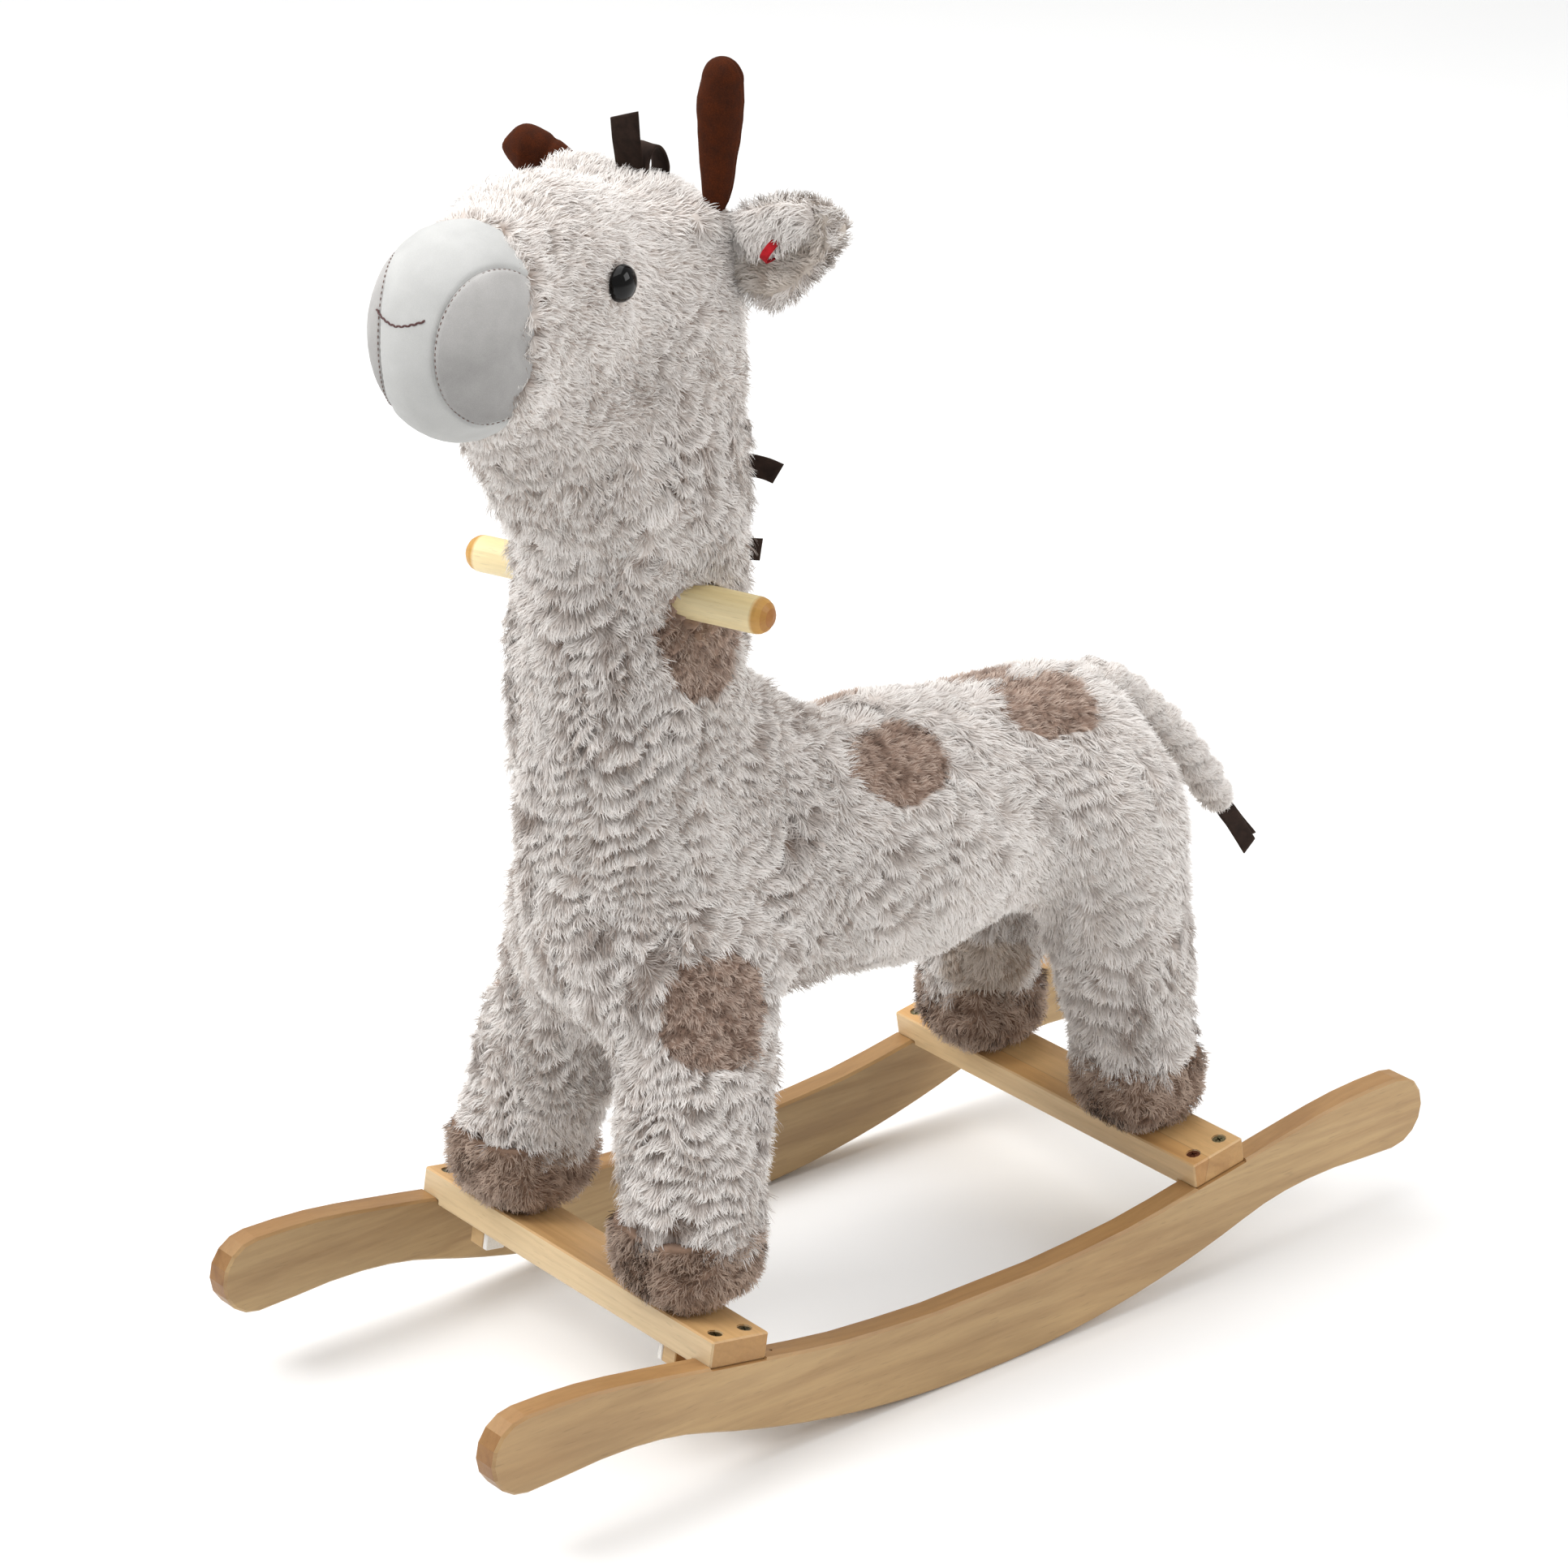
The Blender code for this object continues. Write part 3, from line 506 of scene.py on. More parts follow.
def wood_material(name, along, light, dark, streak, turn=(0, 0, 0), rings=55.0, offset=(0, 0, 0), extra=None, end=None, upper=(247, 222, 190)):
    """Pale lacquered wood with its grain along one axis: broad rings, fine fibres, short pores and a slow drift of colour."""
    m = Nodes(name)
    stretch = {"X": (0.09, 1, 1), "Y": (1, 0.09, 1), "Z": (1, 1, 0.09)}[along]
    coord = m.place(rotation=turn, location=offset)
    squeeze = m.add("ShaderNodeMapping")
    squeeze.inputs["Scale"].default_value = stretch
    m.link(coord, squeeze.inputs["Vector"])
    v = squeeze.outputs[0]
    drift = m.noise(v, 9.0, 3.0, 0.6, 0.6)
    wave = m.add("ShaderNodeTexWave", wave_type="RINGS", rings_direction="SPHERICAL")
    wave.inputs["Scale"].default_value = rings
    wave.inputs["Distortion"].default_value = 7.0
    wave.inputs["Detail"].default_value = 3.0
    wave.inputs["Detail Scale"].default_value = 1.4
    m.link(v, wave.inputs["Vector"])
    rings_out = wave.outputs[1]
    fibre = m.noise(v, 420.0, 2.0, 0.6)
    pore = m.noise(v, 900.0, 1.0, 0.5)
    slow = m.noise(coord, 7.0, 2.0, 0.5)
    colour = m.mix(light, dark, m.ramp(drift, [(0.3, 0.0), (0.75, 1.0)]))
    cloud = m.noise(squeeze.outputs[0], 34.0, 4.0, 0.6, 1.2)
    colour = m.mix(colour, streak, m.math("MULTIPLY", m.ramp(cloud, [(0.48, 0.0), (0.74, 1.0)]), 0.5))
    colour = m.mix(colour, streak, m.math("MULTIPLY", m.ramp(rings_out, [(0.55, 0.0), (0.98, 1.0)]), 0.11))
    colour = m.mix(colour, m.ramp(fibre, [(0.2, 0.88), (0.62, 1.0)]), 0.8, "MULTIPLY")
    colour = m.mix(colour, m.ramp(pore, [(0.24, 0.70), (0.34, 1.0)]), 0.5, "MULTIPLY")
    # Painted light: faces that look up take the upper tint, set apart from the sides for how the light from above falls
    # on the tops
    upward = m.add("ShaderNodeSeparateXYZ")
    m.link(m.add("ShaderNodeTexCoord").outputs["Normal"], upward.inputs[0])
    colour = m.mix(colour, m.mix(colour, srgb(*upper), 1.0, "MULTIPLY"), m.ramp(upward.outputs[2], [(0.35, 0.0), (0.9, 1.0)]))
    colour = m.mix(colour, m.ramp(slow, [(0.28, 0.84), (0.7, 1.04)]), 1.0, "MULTIPLY")
    if extra is not None:
        colour = extra(m, colour)
    dot = m.add("ShaderNodeVectorMath", operation="DOT_PRODUCT")
    m.link(m.add("ShaderNodeTexCoord").outputs["Normal"], dot.inputs[0])
    dot.inputs[1].default_value = end or {"X": (1, 0, 0), "Y": (0, 1, 0), "Z": (0, 0, 1)}[along]
    cut_end = m.ramp(m.math("ABSOLUTE", dot.outputs["Value"]), [(0.62, 0.0), (0.9, 1.0)])
    colour = m.mix(colour, m.mix(colour, srgb(206, 178, 142), 1.0, "MULTIPLY"), cut_end)
    rough = m.ramp(m.noise(v, 130.0, 2.0), [(0.3, 0.36), (0.7, 0.52)])
    normal = m.bump(fibre, 0.18, 0.0003, m.bump(pore, 0.12, 0.0002))
    return m.set(Base_Color=colour, Roughness=rough, Normal=normal, Specular_IOR_Level=0.35, Coat_Weight=0.08, Coat_Roughness=0.3)


def velour_material(name, base, low, sheen, sheen_tint, size=2600.0, strength=0.25, mottle=(0.90, 1.05), painted_light_by_height=None):
    """Short nap. The height multiplier, at the low and the high end of the muzzle, is painted light and shade: darker
    towards the bottom, lighter towards the top.
    """
    m = Nodes(name)
    v = m.place()
    nap = m.noise(v, size, 3.0, 0.65)
    brush = m.noise(v, 55.0 if painted_light_by_height else 140.0, 3.0, 0.55, 0.3)
    colour = m.mix(low, base, m.ramp(brush, [(0.28, 0.0), (0.68, 1.0)]))
    colour = m.mix(colour, m.ramp(nap, [(0.25, mottle[0]), (0.75, mottle[1])]), 0.8, "MULTIPLY")
    # Painted light and shade: the muzzle's panels are coloured darker towards the bottom and lighter towards the top,
    # where the light from above falls
    if painted_light_by_height:
        split = m.add("ShaderNodeSeparateXYZ")
        m.link(v, split.inputs[0])
        height = m.math("MULTIPLY", m.math("SUBTRACT", split.outputs[2], 0.645), 8.7, clamp=True)
        colour = m.mix(colour, m.ramp(height, [(0.05, painted_light_by_height[0]), (0.5, 1.0), (0.95, painted_light_by_height[1])]), 1.0, "MULTIPLY")
    normal = m.bump(nap, strength, 0.0004)
    m.set(Base_Color=colour, Roughness=m.ramp(brush, [(0.3, 0.78), (0.7, 0.95)]), Normal=normal, Sheen_Weight=sheen, Sheen_Roughness=0.35, Specular_IOR_Level=0.12)
    m.shader.inputs["Sheen Tint"].default_value = (*tuple(sheen_tint), 1.0)
    return m.material


def thread_material(name, colour, dark):
    m = Nodes(name)
    v = m.place()
    wave = m.add("ShaderNodeTexWave", wave_type="BANDS", bands_direction="DIAGONAL")
    wave.inputs["Scale"].default_value = 900.0
    m.link(v, wave.inputs["Vector"])
    mixed = m.mix(dark, colour, wave.outputs[1])
    return m.set(Base_Color=mixed, Roughness=0.6, Normal=m.bump(wave.outputs[1], 0.5, 0.0003), Sheen_Weight=0.2)


def metal_material(name, base, dark):
    m = Nodes(name)
    v = m.place()
    scratch = m.noise(v, 900.0, 4.0, 0.7, 1.0)
    colour = m.mix(dark, base, m.ramp(scratch, [(0.3, 0.0), (0.6, 1.0)]))
    return m.set(Base_Color=colour, Metallic=1.0, Roughness=m.ramp(scratch, [(0.3, 0.48), (0.7, 0.28)]), Normal=m.bump(scratch, 0.15, 0.0001))


def plastic_material(name, base, dark, rough=0.45):
    m = Nodes(name)
    v = m.place()
    grain = m.noise(v, 1500.0, 2.0)
    colour = m.mix(dark, base, m.ramp(grain, [(0.2, 0.0), (0.6, 1.0)]))
    return m.set(Base_Color=colour, Roughness=m.ramp(grain, [(0.2, rough + 0.1), (0.8, rough)]), Normal=m.bump(grain, 0.08, 0.0001))


PILE = pile_material("plush_pile")
SKIN = pile_material("plush_backing", 0.95, 0.1)
# Both muzzle panels carry painted shade low down and painted light high up
MUZZLE_WHITE = velour_material("velour_offwhite", srgb(198, 198, 196), srgb(189, 189, 187), 0.12, (1, 1, 1), mottle=(0.86, 1.06), painted_light_by_height=(0.86, 1.04))
MUZZLE_GREY = velour_material("velour_grey", srgb(176, 174, 172), srgb(162, 160, 158), 0.12, (1, 1, 1), mottle=(0.78, 1.12), painted_light_by_height=(0.70, 1.36))
HORN_BROWN = velour_material("velour_brown", srgb(76, 34, 13), srgb(58, 25, 9), 0.14, srgb(200, 104, 48), 1500.0, 0.7, mottle=(0.45, 1.35))
FELT_DARK = velour_material("felt_dark", srgb(58, 45, 39), srgb(40, 30, 26), 0.35, srgb(150, 130, 120), 1800.0, 0.5)
TAG_RED = velour_material("woven_red", srgb(186, 36, 44), srgb(140, 20, 28), 0.1, (1, 0.8, 0.8), 3200.0, 0.4)
THREAD_BROWN = thread_material("thread_brown", srgb(96, 44, 40), srgb(50, 20, 20))
THREAD_WHITE = thread_material("thread_white", srgb(226, 224, 221), srgb(186, 184, 182))
THREAD_SEAM = thread_material("thread_seam", srgb(128, 100, 88), srgb(86, 64, 56))
BRASS = metal_material("screw_brass", srgb(150, 140, 104), srgb(84, 76, 52))
COPPER = metal_material("screw_copper", srgb(168, 112, 84), srgb(92, 54, 38))
STEEL = metal_material("screw_steel", srgb(170, 170, 168), srgb(110, 110, 110))
CAP_WHITE = plastic_material("cap_white", srgb(232, 231, 228), srgb(218, 216, 212))
WASHER = plastic_material("washer_white", srgb(228, 228, 224), srgb(210, 210, 206))


def eye_material():
    m = Nodes("eye_black")
    v = m.place()
    speck = m.noise(v, 700.0, 3.0, 0.6)
    colour = m.mix(srgb(6, 6, 6), srgb(14, 12, 11), m.ramp(speck, [(0.35, 0.0), (0.8, 1.0)]))
    rough = m.ramp(m.noise(v, 240.0, 3.0), [(0.3, 0.025), (0.75, 0.06)])
    return m.set(Base_Color=colour, Roughness=rough, Specular_IOR_Level=0.24)


EYE_BLACK = eye_material()

HONEY, TAN, RING = srgb(226, 200, 156), srgb(204, 170, 122), srgb(164, 124, 80)
WOOD_ROCKER = wood_material("birch_rocker", "Y", srgb(196, 166, 121), srgb(172, 138, 95), srgb(132, 96, 60), upper=(240, 222, 202), rings=42.0, offset=(0.31, 0.2, 0.17))


def rounded_ends(m, colour):
    """The grip bar's two domes show end grain, which takes the lacquer darker."""
    split = m.add("ShaderNodeSeparateXYZ")
    m.link(m.add("ShaderNodeTexCoord").outputs["Object"], split.inputs[0])
    x = m.math("MULTIPLY", m.math("SUBTRACT", split.outputs[0], 0.00326), C19)
    y = m.math("MULTIPLY", m.math("ADD", split.outputs[1], 0.16645), S19)
    far = m.math("SUBTRACT", m.math("ABSOLUTE", m.math("ADD", x, y)), 0.0945)
    return m.mix(colour, m.mix(colour, srgb(208, 172, 118), 1.0, "MULTIPLY"), m.math("MULTIPLY", far, 420.0, clamp=True))


def laminated(m, colour):
    """The front quarter of the rear crossbar is a darker strip glued on."""
    v = m.add("ShaderNodeTexCoord").outputs["Object"]
    split = m.add("ShaderNodeSeparateXYZ")
    m.link(v, split.inputs[0])
    depth = m.math("ADD", split.outputs[1], m.math("MULTIPLY", split.outputs[2], -0.167))
    edge = m.math("LESS_THAN", depth, 0.16825)
    line = m.math("LESS_THAN", m.math("ABSOLUTE", m.math("SUBTRACT", depth, 0.16825)), 0.00025)
    colour = m.mix(colour, m.mix(colour, srgb(250, 240, 228), 1.0, "MULTIPLY"), edge)
    return m.mix(colour, srgb(150, 116, 82), m.math("MULTIPLY", line, 0.45))


WOOD_BAR = wood_material("birch_bar", "X", srgb(228, 205, 166), srgb(212, 182, 138), srgb(176, 142, 104), rings=60.0, offset=(0.1, 0.43, 0.29))
WOOD_REAR = wood_material("birch_bar_rear", "X", srgb(234, 214, 176), srgb(220, 194, 152), srgb(184, 152, 114), rings=52.0, offset=(0.6, 0.11, 0.4), extra=laminated)
WOOD_GRIP = wood_material("birch_grip", "X", srgb(254, 238, 192), srgb(250, 228, 176), srgb(232, 202, 148), upper=(255, 251, 238), extra=rounded_ends, turn=(0, 0, -TURN), rings=30.0, offset=(0.2, 0.7, 0.3), end=(C19, S19, 0))
WOOD_INNER = wood_material("frame_wood", "Y", srgb(196, 164, 120), srgb(170, 134, 92), srgb(130, 96, 62), rings=40.0)
WOOD_BLOCK = wood_material("birch_block", "X", srgb(222, 192, 146), srgb(200, 164, 114), srgb(150, 112, 72), rings=70.0)

# ---------------------------------------------------------------- the wooden frame, which is the CAD's own
for name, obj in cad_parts.items():
    if name.startswith("rocker"):
        finish = WOOD_ROCKER
    elif name == "crossbar_front":
        finish = WOOD_BAR
    elif name == "crossbar_rear":
        finish = WOOD_REAR
    elif name == "handle_bar":
        finish = WOOD_GRIP
    elif name.startswith("corner_block"):
        finish = WOOD_BLOCK
    elif name.startswith("block_cap"):
        finish = CAP_WHITE
    elif name.startswith("eye_washer"):
        finish = WASHER
    elif name == "screw_rear_left_inner":
        finish = COPPER
    elif name.startswith("screw_"):
        finish = BRASS
    elif "screw" in name:
        finish = STEEL
    elif name.startswith(("leg_post", "body_board", "seat_core", "neck_post")):
        finish = WOOD_INNER
    else:
        continue
    for s in obj.material_slots:
        s.material = finish
    weld = obj.modifiers.new("weld", "WELD")
    weld.merge_threshold = 0.00002

# ---------------------------------------------------------------- pile
# Each palette runs root, middle, tip; the dark roots are painted shade deep in the pile
CREAM = srgb(108, 82, 63), srgb(235, 226, 219), srgb(252, 248, 244)
TAUPE = srgb(112, 88, 74), srgb(182, 155, 138), srgb(212, 191, 176)
UMBER = srgb(102, 78, 62), srgb(168, 140, 121), srgb(198, 176, 159)
INNER = srgb(156, 132, 112), srgb(224, 212, 200), srgb(242, 235, 227)
SHADY = srgb(130, 104, 84), srgb(206, 190, 175), srgb(228, 217, 206)

SPOTS = [
    ((52.0, 1.0, 377.0), 29.0),
    ((52.0, 9.0, 374.0), 29.0),
    ((32.0, 132.0, 376.0), 26.0),
    ((32.0, 147.0, 373.0), 26.0),
    (tuple(to_world((66.0, -14.0, 487.0))), 31.0),
    ((96.0, -167.0, 271.0), 34.0),
    ((-46.0, 14.0, 378.0), 29.0),
    ((-37.0, 123.0, 375.5), 31.0),
    ((-98.0, -176.0, 254.0), 28.0),
    (tuple(to_world((-64.0, -10.0, 470.0))), 26.0),
    ((-84.0, 70.0, 312.0), 30.0),
    ((8.0, 240.0, 318.0), 22.0),
]
PALE_SPOTS = [((-40.0, 158.0, 158.0), 28.0)]


def spot_share(p, spots=SPOTS):
    """1 inside a spot, 0 outside, with an uneven rim."""
    p = np.asarray(p, float)
    rough = 3.6 * noise(p, 16.0, 30) + 2.6 * noise(p, 8.0, 31) + 1.8 * noise(p, 4.0, 32)
    out = np.zeros(p.shape[:-1])
    for centre, radius in spots:
        d = (np.abs(p - np.array(centre)) ** 2.6).sum(-1) ** (1 / 2.6)
        out = np.maximum(out, (d + rough < radius).astype(float))
    return out


def regions(p):
    local = to_local(p)
    z = p[..., 2]
    head = np.clip((local[..., 2] - 606) / 36, 0, 1) * (local[..., 1] < 95)
    snout = np.clip((-local[..., 1] - 30) / 60, 0, 1) * head
    legs = np.clip((235 - z) / 40, 0, 1)
    neck = np.clip((z - 385) / 40, 0, 1) * (1 - head) * np.clip((-p[..., 1] - 30) / 30, 0, 1)
    trunk = 1 - np.clip(legs + neck + head, 0, 1)
    return local, head, snout, legs, neck, trunk


def lie(p):
    """The way the pile lies, before it is laid along the surface."""
    local, head, snout, legs, neck, trunk = regions(p)
    d = legs[..., None] * np.array((0.0, 0.05, -1.0))
    d = d + neck[..., None] * np.array((0.0, 0.12, -1.0))
    d = d + trunk[..., None] * np.array((0.0, 0.55, -0.85))
    d = d + (head - snout)[..., None] * turned_dir(np.array((0.0, 0.7, -0.7)))
    return d + snout[..., None] * turned_dir(np.array((0.0, 0.75, -0.45)))


def flow(p, n):
    """The way the pile lies, along the surface."""
    d = lie(p)
    along = d - (d * n).sum(-1, keepdims=True) * n
    size = np.linalg.norm(along, axis=-1, keepdims=True)
    sideways = np.cross(n, turned_dir(np.array((0.3, 1.0, 0.2))))
    return np.where(size < 0.12, unit(sideways), along / np.maximum(size, 1e-6))


def tufts(p):
    """Each point's tuft: its height at that point from 0 to 1, and the tuft's own random numbers."""
    stretched = p * (1, 1, 1.2)
    centre, own, gap = cells(stretched, 10.0, 90)
    u = ((stretched - centre) * unit(lie(p) * (1, 1, 1.2))).sum(-1) / 5.0
    rim = np.clip(gap / 2.6, 0, 1)
    return rim * rim * (3 - 2 * rim) * (0.5 + 0.5 * np.clip(0.5 + 0.55 * u, 0, 1)), own


PITCHES = (10.4, 7.0)


def wave_phases(p):
    """How many waves of the pile lie behind a point, counted along its flow: over the body, and over the head."""
    local = to_local(p)
    body = (0.45 * p[..., 1] - 0.89 * p[..., 2]) / PITCHES[0]
    tall = p * (1.0, 1.0, 0.42)
    body = body + 1.0 * noise(p, 45.0, 11) + 1.4 * noise(tall, 17.0, 12) + 0.42 * noise(tall, 8.5, 18)
    head = (0.85 * local[..., 1] - 0.52 * local[..., 2]) / PITCHES[1]
    return body, head + 1.0 * noise(p, 26.0, 15) + 0.55 * noise(tall, 9.0, 16)


def wave_strength(p):
    local, head, snout, legs, neck, trunk = regions(p)
    rough_head = np.interp(p[..., 2], (640, 690, 730, 760), (1.15, 1.0, 0.72, 0.5))
    strong = 1.26 * neck + 1.14 * legs + rough_head * head + trunk * np.clip(1.0 - (p[..., 1] + 90) / 200, 0.52, 1.0)
    return strong * (0.9 + 0.3 * noise(p, 60.0, 14)) * np.clip(1.0 + 0.5 * noise(p, 15.0, 19), 0.5, 1.2)


def downhill(p, n):
    """The way across the waves, along the surface."""
    share = regions(p)[1][:, None]
    here = wave_phases(p)
    rise = np.zeros((2, len(p), 3))
    for k in range(3):
        step = np.zeros(3)
        step[k] = 1.5
        for i, there in enumerate(wave_phases(p + step)):
            rise[i, :, k] = there - here[i]
    d = unit(rise[0]) * (1 - share) + unit(rise[1]) * share
    return unit(d - (d * n).sum(-1, keepdims=True) * n)


def eased(x):
    x = np.clip(x, 0, 1)
    return x * x * (3 - 2 * x)


def crests(p):
    """The pile's waves: height from 0 in a valley to 1 on a crest, how light the pile is painted there (painted shade
    in the valleys, where shade falls), how strong the waves are, how far the pile runs on before its next crest, and
    the tufts' random numbers.
    """
    share = regions(p)[1]
    out = []
    for phase, pitch in zip(wave_phases(p), PITCHES):
        s = np.mod(phase, 1.0)
        out.append((eased(np.minimum(s / 0.72, (1 - s) / 0.28)), eased(np.minimum((s - 0.01) / 0.38, (1.02 - s) / 0.12)), np.clip((0.93 - s) * pitch, 0, 12)))
    wave, light, ahead = (a * (1 - share) + b * share for a, b in zip(*out))
    height, own = tufts(p)
    wave = np.clip(wave * (0.66 + 0.34 * height) + 0.1 * height, 0, 1)
    light = np.clip(light * (0.68 + 0.32 * height) + 0.03, 0, 1)
    return wave, light, wave_strength(p), ahead, own


def palette(kinds, weights):
    out = []
    for k in range(3):
        out.append(sum(w[:, None] * kind[k] for kind, w in zip(kinds, weights)))
    return out


def strands(roots, normals, lengths, along, crest, colours, spread=1.0, width=0.8, clump=5.0, gather=0.3, lift=None, segments=3, seed=1, floor=None, curl=1.0, turn=0.0):
    """Tapered ribbons for the pile. Returns points, faces, colours, normals and map places."""
    rng = np.random.default_rng(seed)
    n = len(roots)
    centre, own, _ = cells(roots, clump, seed + 50)
    toward = centre - roots
    toward -= (toward * normals).sum(-1, keepdims=True) * normals
    angle = (1.3 * noise(roots, 15.0, 21) + 0.8 * (own[:, 0] - 0.5) + rng.normal(0, 0.26, n)) * spread + turn
    side = np.cross(normals, along)
    along = unit(along * np.cos(angle)[:, None] + side * np.sin(angle)[:, None])
    side = np.cross(normals, along)
    if lift is None:
        lift = 0.34 + 0.34 * crest
    raised = np.clip(lift + 0.14 * (own[:, 1] - 0.5) + rng.normal(0, 0.05, n), 0.1, 1.0)
    long = lengths * rng.uniform(0.75, 1.15, n)
    twist = own[:, 2] * 6.28
    jitter = rng.normal(0, 1, (n, 2))
    t = np.linspace(0, 1, segments + 1)
    up = (long * raised)[:, None] * (1 - (1 - t) ** 1.6)
    out = (long * (1.05 - 0.6 * raised))[:, None] * t**1.25
    wave = np.sin(2 * math.pi * 0.8 * t + twist[:, None]) * t * 0.9 * curl
    path = (
        roots[:, None, :]
        + normals[:, None, :] * (up + 0.45 * jitter[:, :1] * t)[..., None]
        + along[:, None, :] * out[..., None]
        + toward[:, None, :] * (gather * t**1.2)[None, :, None]
        + side[:, None, :] * (wave + 0.5 * jitter[:, 1:] * t)[..., None]
    )
    if floor is not None:
        path = floor(path)
    tangent = unit(np.gradient(path, axis=1))
    flat = np.cross(tangent, normals[:, None, :])
    size = np.linalg.norm(flat, axis=-1, keepdims=True)
    flat = np.where(size < 0.05, side[:, None, :], flat / np.maximum(size, 1e-6))
    wide = width * rng.uniform(0.75, 1.25, n)[:, None] * (1 - 0.8 * t**2.0)
    half = flat * (wide * 0.5)[..., None]
    points = np.stack([path - half, path + half], 2).reshape(-1, 3)
    face_up = np.cross(flat, tangent)
    soft = unit(face_up * 0.22 + normals[:, None, :] * 0.9)
    shade = np.stack([unit(soft - flat * 0.22), unit(soft + flat * 0.22)], 2).reshape(-1, 3)
    rows = segments + 1
    first = (np.arange(n) * rows * 2)[:, None, None]
    row = np.arange(segments)[None, :, None] * 2
    faces = (first + row + np.array([0, 1, 3, 2])[None, None, :]).reshape(-1, 4)
    tint = 0.98 + 0.03 * own[:, 1] + rng.uniform(-0.035, 0.02, n)
    # Painted shade: each strand darkens towards its root, and strands low in a valley stay darker up to the tip
    root, middle, tip = (c[:, None, :] for c in colours)
    height = np.clip(crest, 0, 1)[:, None, None] ** 0.8
    foot = root + (middle - root) * (0.1 + 0.85 * height)
    top = root * 0.68 + middle * 0.32
    top = top + (tip - top) * np.clip(height * 1.2, 0, 1)
    shades = foot + (top - foot) * t[None, :, None] ** 0.8
    shades = np.clip(shades * tint[:, None, None], 0, 0.96)
    vertex_colours = np.repeat(shades, 2, axis=1).reshape(-1, 3)
    side_count = int(math.ceil(math.sqrt(n)))
    order = np.argsort(np.argsort(np.round(roots[:, 2] / 12) * 1e4 + roots[:, 1]))
    cell_x, cell_y = order % side_count, order // side_count
    u = (cell_x[:, None] + np.array([0.25, 0.75])[None, :]) / side_count
    v = (cell_y[:, None] + 0.12 + 0.76 * t[None, :]) / side_count
    uv_vert = np.stack([np.broadcast_to(u[:, None, :], (n, rows, 2)), np.broadcast_to(v[:, :, None], (n, rows, 2))], -1).reshape(-1, 2)
    return points, faces, vertex_colours, shade, uv_vert[faces.ravel()]


def strand_piece(name, data, body, material=None):
    points, faces, colours, shade, uv = data
    obj = make_mesh(name, points, faces, [material or PILE], True, colours, None, uv)
    obj.data.normals_split_custom_set_from_vertices(shade.astype(np.float32).tolist())
    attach(obj, body)
    return obj


def vertex_normals(verts, faces):
    a, b, c = verts[faces[:, 0]], verts[faces[:, 1]], verts[faces[:, 2]]
    d = verts[faces[:, 3]] if faces.shape[1] == 4 else a
    each = np.cross(c - a, d - b) if faces.shape[1] == 4 else np.cross(b - a, c - a)
    out = np.zeros_like(verts)
    for k in range(faces.shape[1]):
        np.add.at(out, faces[:, k], each)
    return unit(out)


def finer(verts, faces):
    """Each quad split in four."""
    n = len(verts)
    edges = np.concatenate([faces[:, [k, (k + 1) % 4]] for k in range(4)])
    edges = np.sort(edges, axis=1)
    pairs, index = np.unique(edges, axis=0, return_inverse=True)
    index = index.reshape(4, -1).T
    middle = (verts[pairs[:, 0]] + verts[pairs[:, 1]]) / 2
    centre = verts[faces].mean(1)
    m = n + index
    c = n + len(pairs) + np.arange(len(faces))
    quads = [np.stack([faces[:, k], m[:, k], c, m[:, k - 1]], 1) for k in range(4)]
    return np.concatenate([verts, middle, centre]), np.concatenate(quads)


def scattered(verts, faces, normals, density, seed):
    """Random points on a mesh of quads or triangles, this many to the square millimetre, each with its normal."""
    rng = np.random.default_rng(seed)
    tri = faces if faces.shape[1] == 3 else np.concatenate([faces[:, [0, 1, 2]], faces[:, [0, 2, 3]]])
    a, b, c = verts[tri[:, 0]], verts[tri[:, 1]], verts[tri[:, 2]]
    area = np.linalg.norm(np.cross(b - a, c - a), axis=1) / 2
    count = int(area.sum() * density)
    pick = rng.choice(len(tri), count, p=area / area.sum())
    u, v = rng.random((2, count, 1))
    flip = (u + v) > 1
    u, v = np.where(flip, 1 - u, u), np.where(flip, 1 - v, v)
    place = a[pick] + u * (b[pick] - a[pick]) + v * (c[pick] - a[pick])
    na, nb, nc = (normals[tri[pick, k]] for k in range(3))
    return place, unit(na + u * (nb - na) + v * (nc - na))


TILT = math.tan(math.radians(9.5))


def bar_top(y):
    """Height of a crossbar's top under a point, in millimetres, or 0 beside it."""
    low = np.where(np.abs(y + 191) < 23, 88.16 - TILT * (y + 190.35), 0.0)
    return np.where(np.abs(y - 191) < 23, 88.16 + TILT * (y - 190.35), low)


def above_bar(path):
    z = np.maximum(path[..., 2], bar_top(path[..., 1]) + 0.6)
    return np.stack([path[..., 0], path[..., 1], z], -1)


DENSITY = 0.57
THICK = 0.53

verts, faces = surface(lambda p: plush_distance(p) + 8.4, (-142, -350, 106), (142, 276, 790), 6.0)
verts, faces = finer(verts, faces)
for _ in range(2):
    value = plush_distance(verts) + 8.4 - 2.8 * regions(verts)[1]
    verts = verts - gradient(plush_distance, verts) * np.clip(value, -4, 4)[:, None]
verts, faces = finer(verts, faces)
up = gradient(plush_distance, verts)
taupe = spot_share(verts)
pale = spot_share(verts, PALE_SPOTS)
crest, light, strong, _, _ = crests(verts)
strong = strong * (1 - 0.6 * taupe)
verts = verts + up * (7.2 * strong * (1 - 0.3 * regions(verts)[1]) * crest + 0.4 * noise(verts, 6.0, 15))[:, None] + flow(verts, up) * (3.6 * strong * (1 - 0.3 * regions(verts)[1]) * crest)[:, None]
verts_n = vertex_normals(verts, faces)
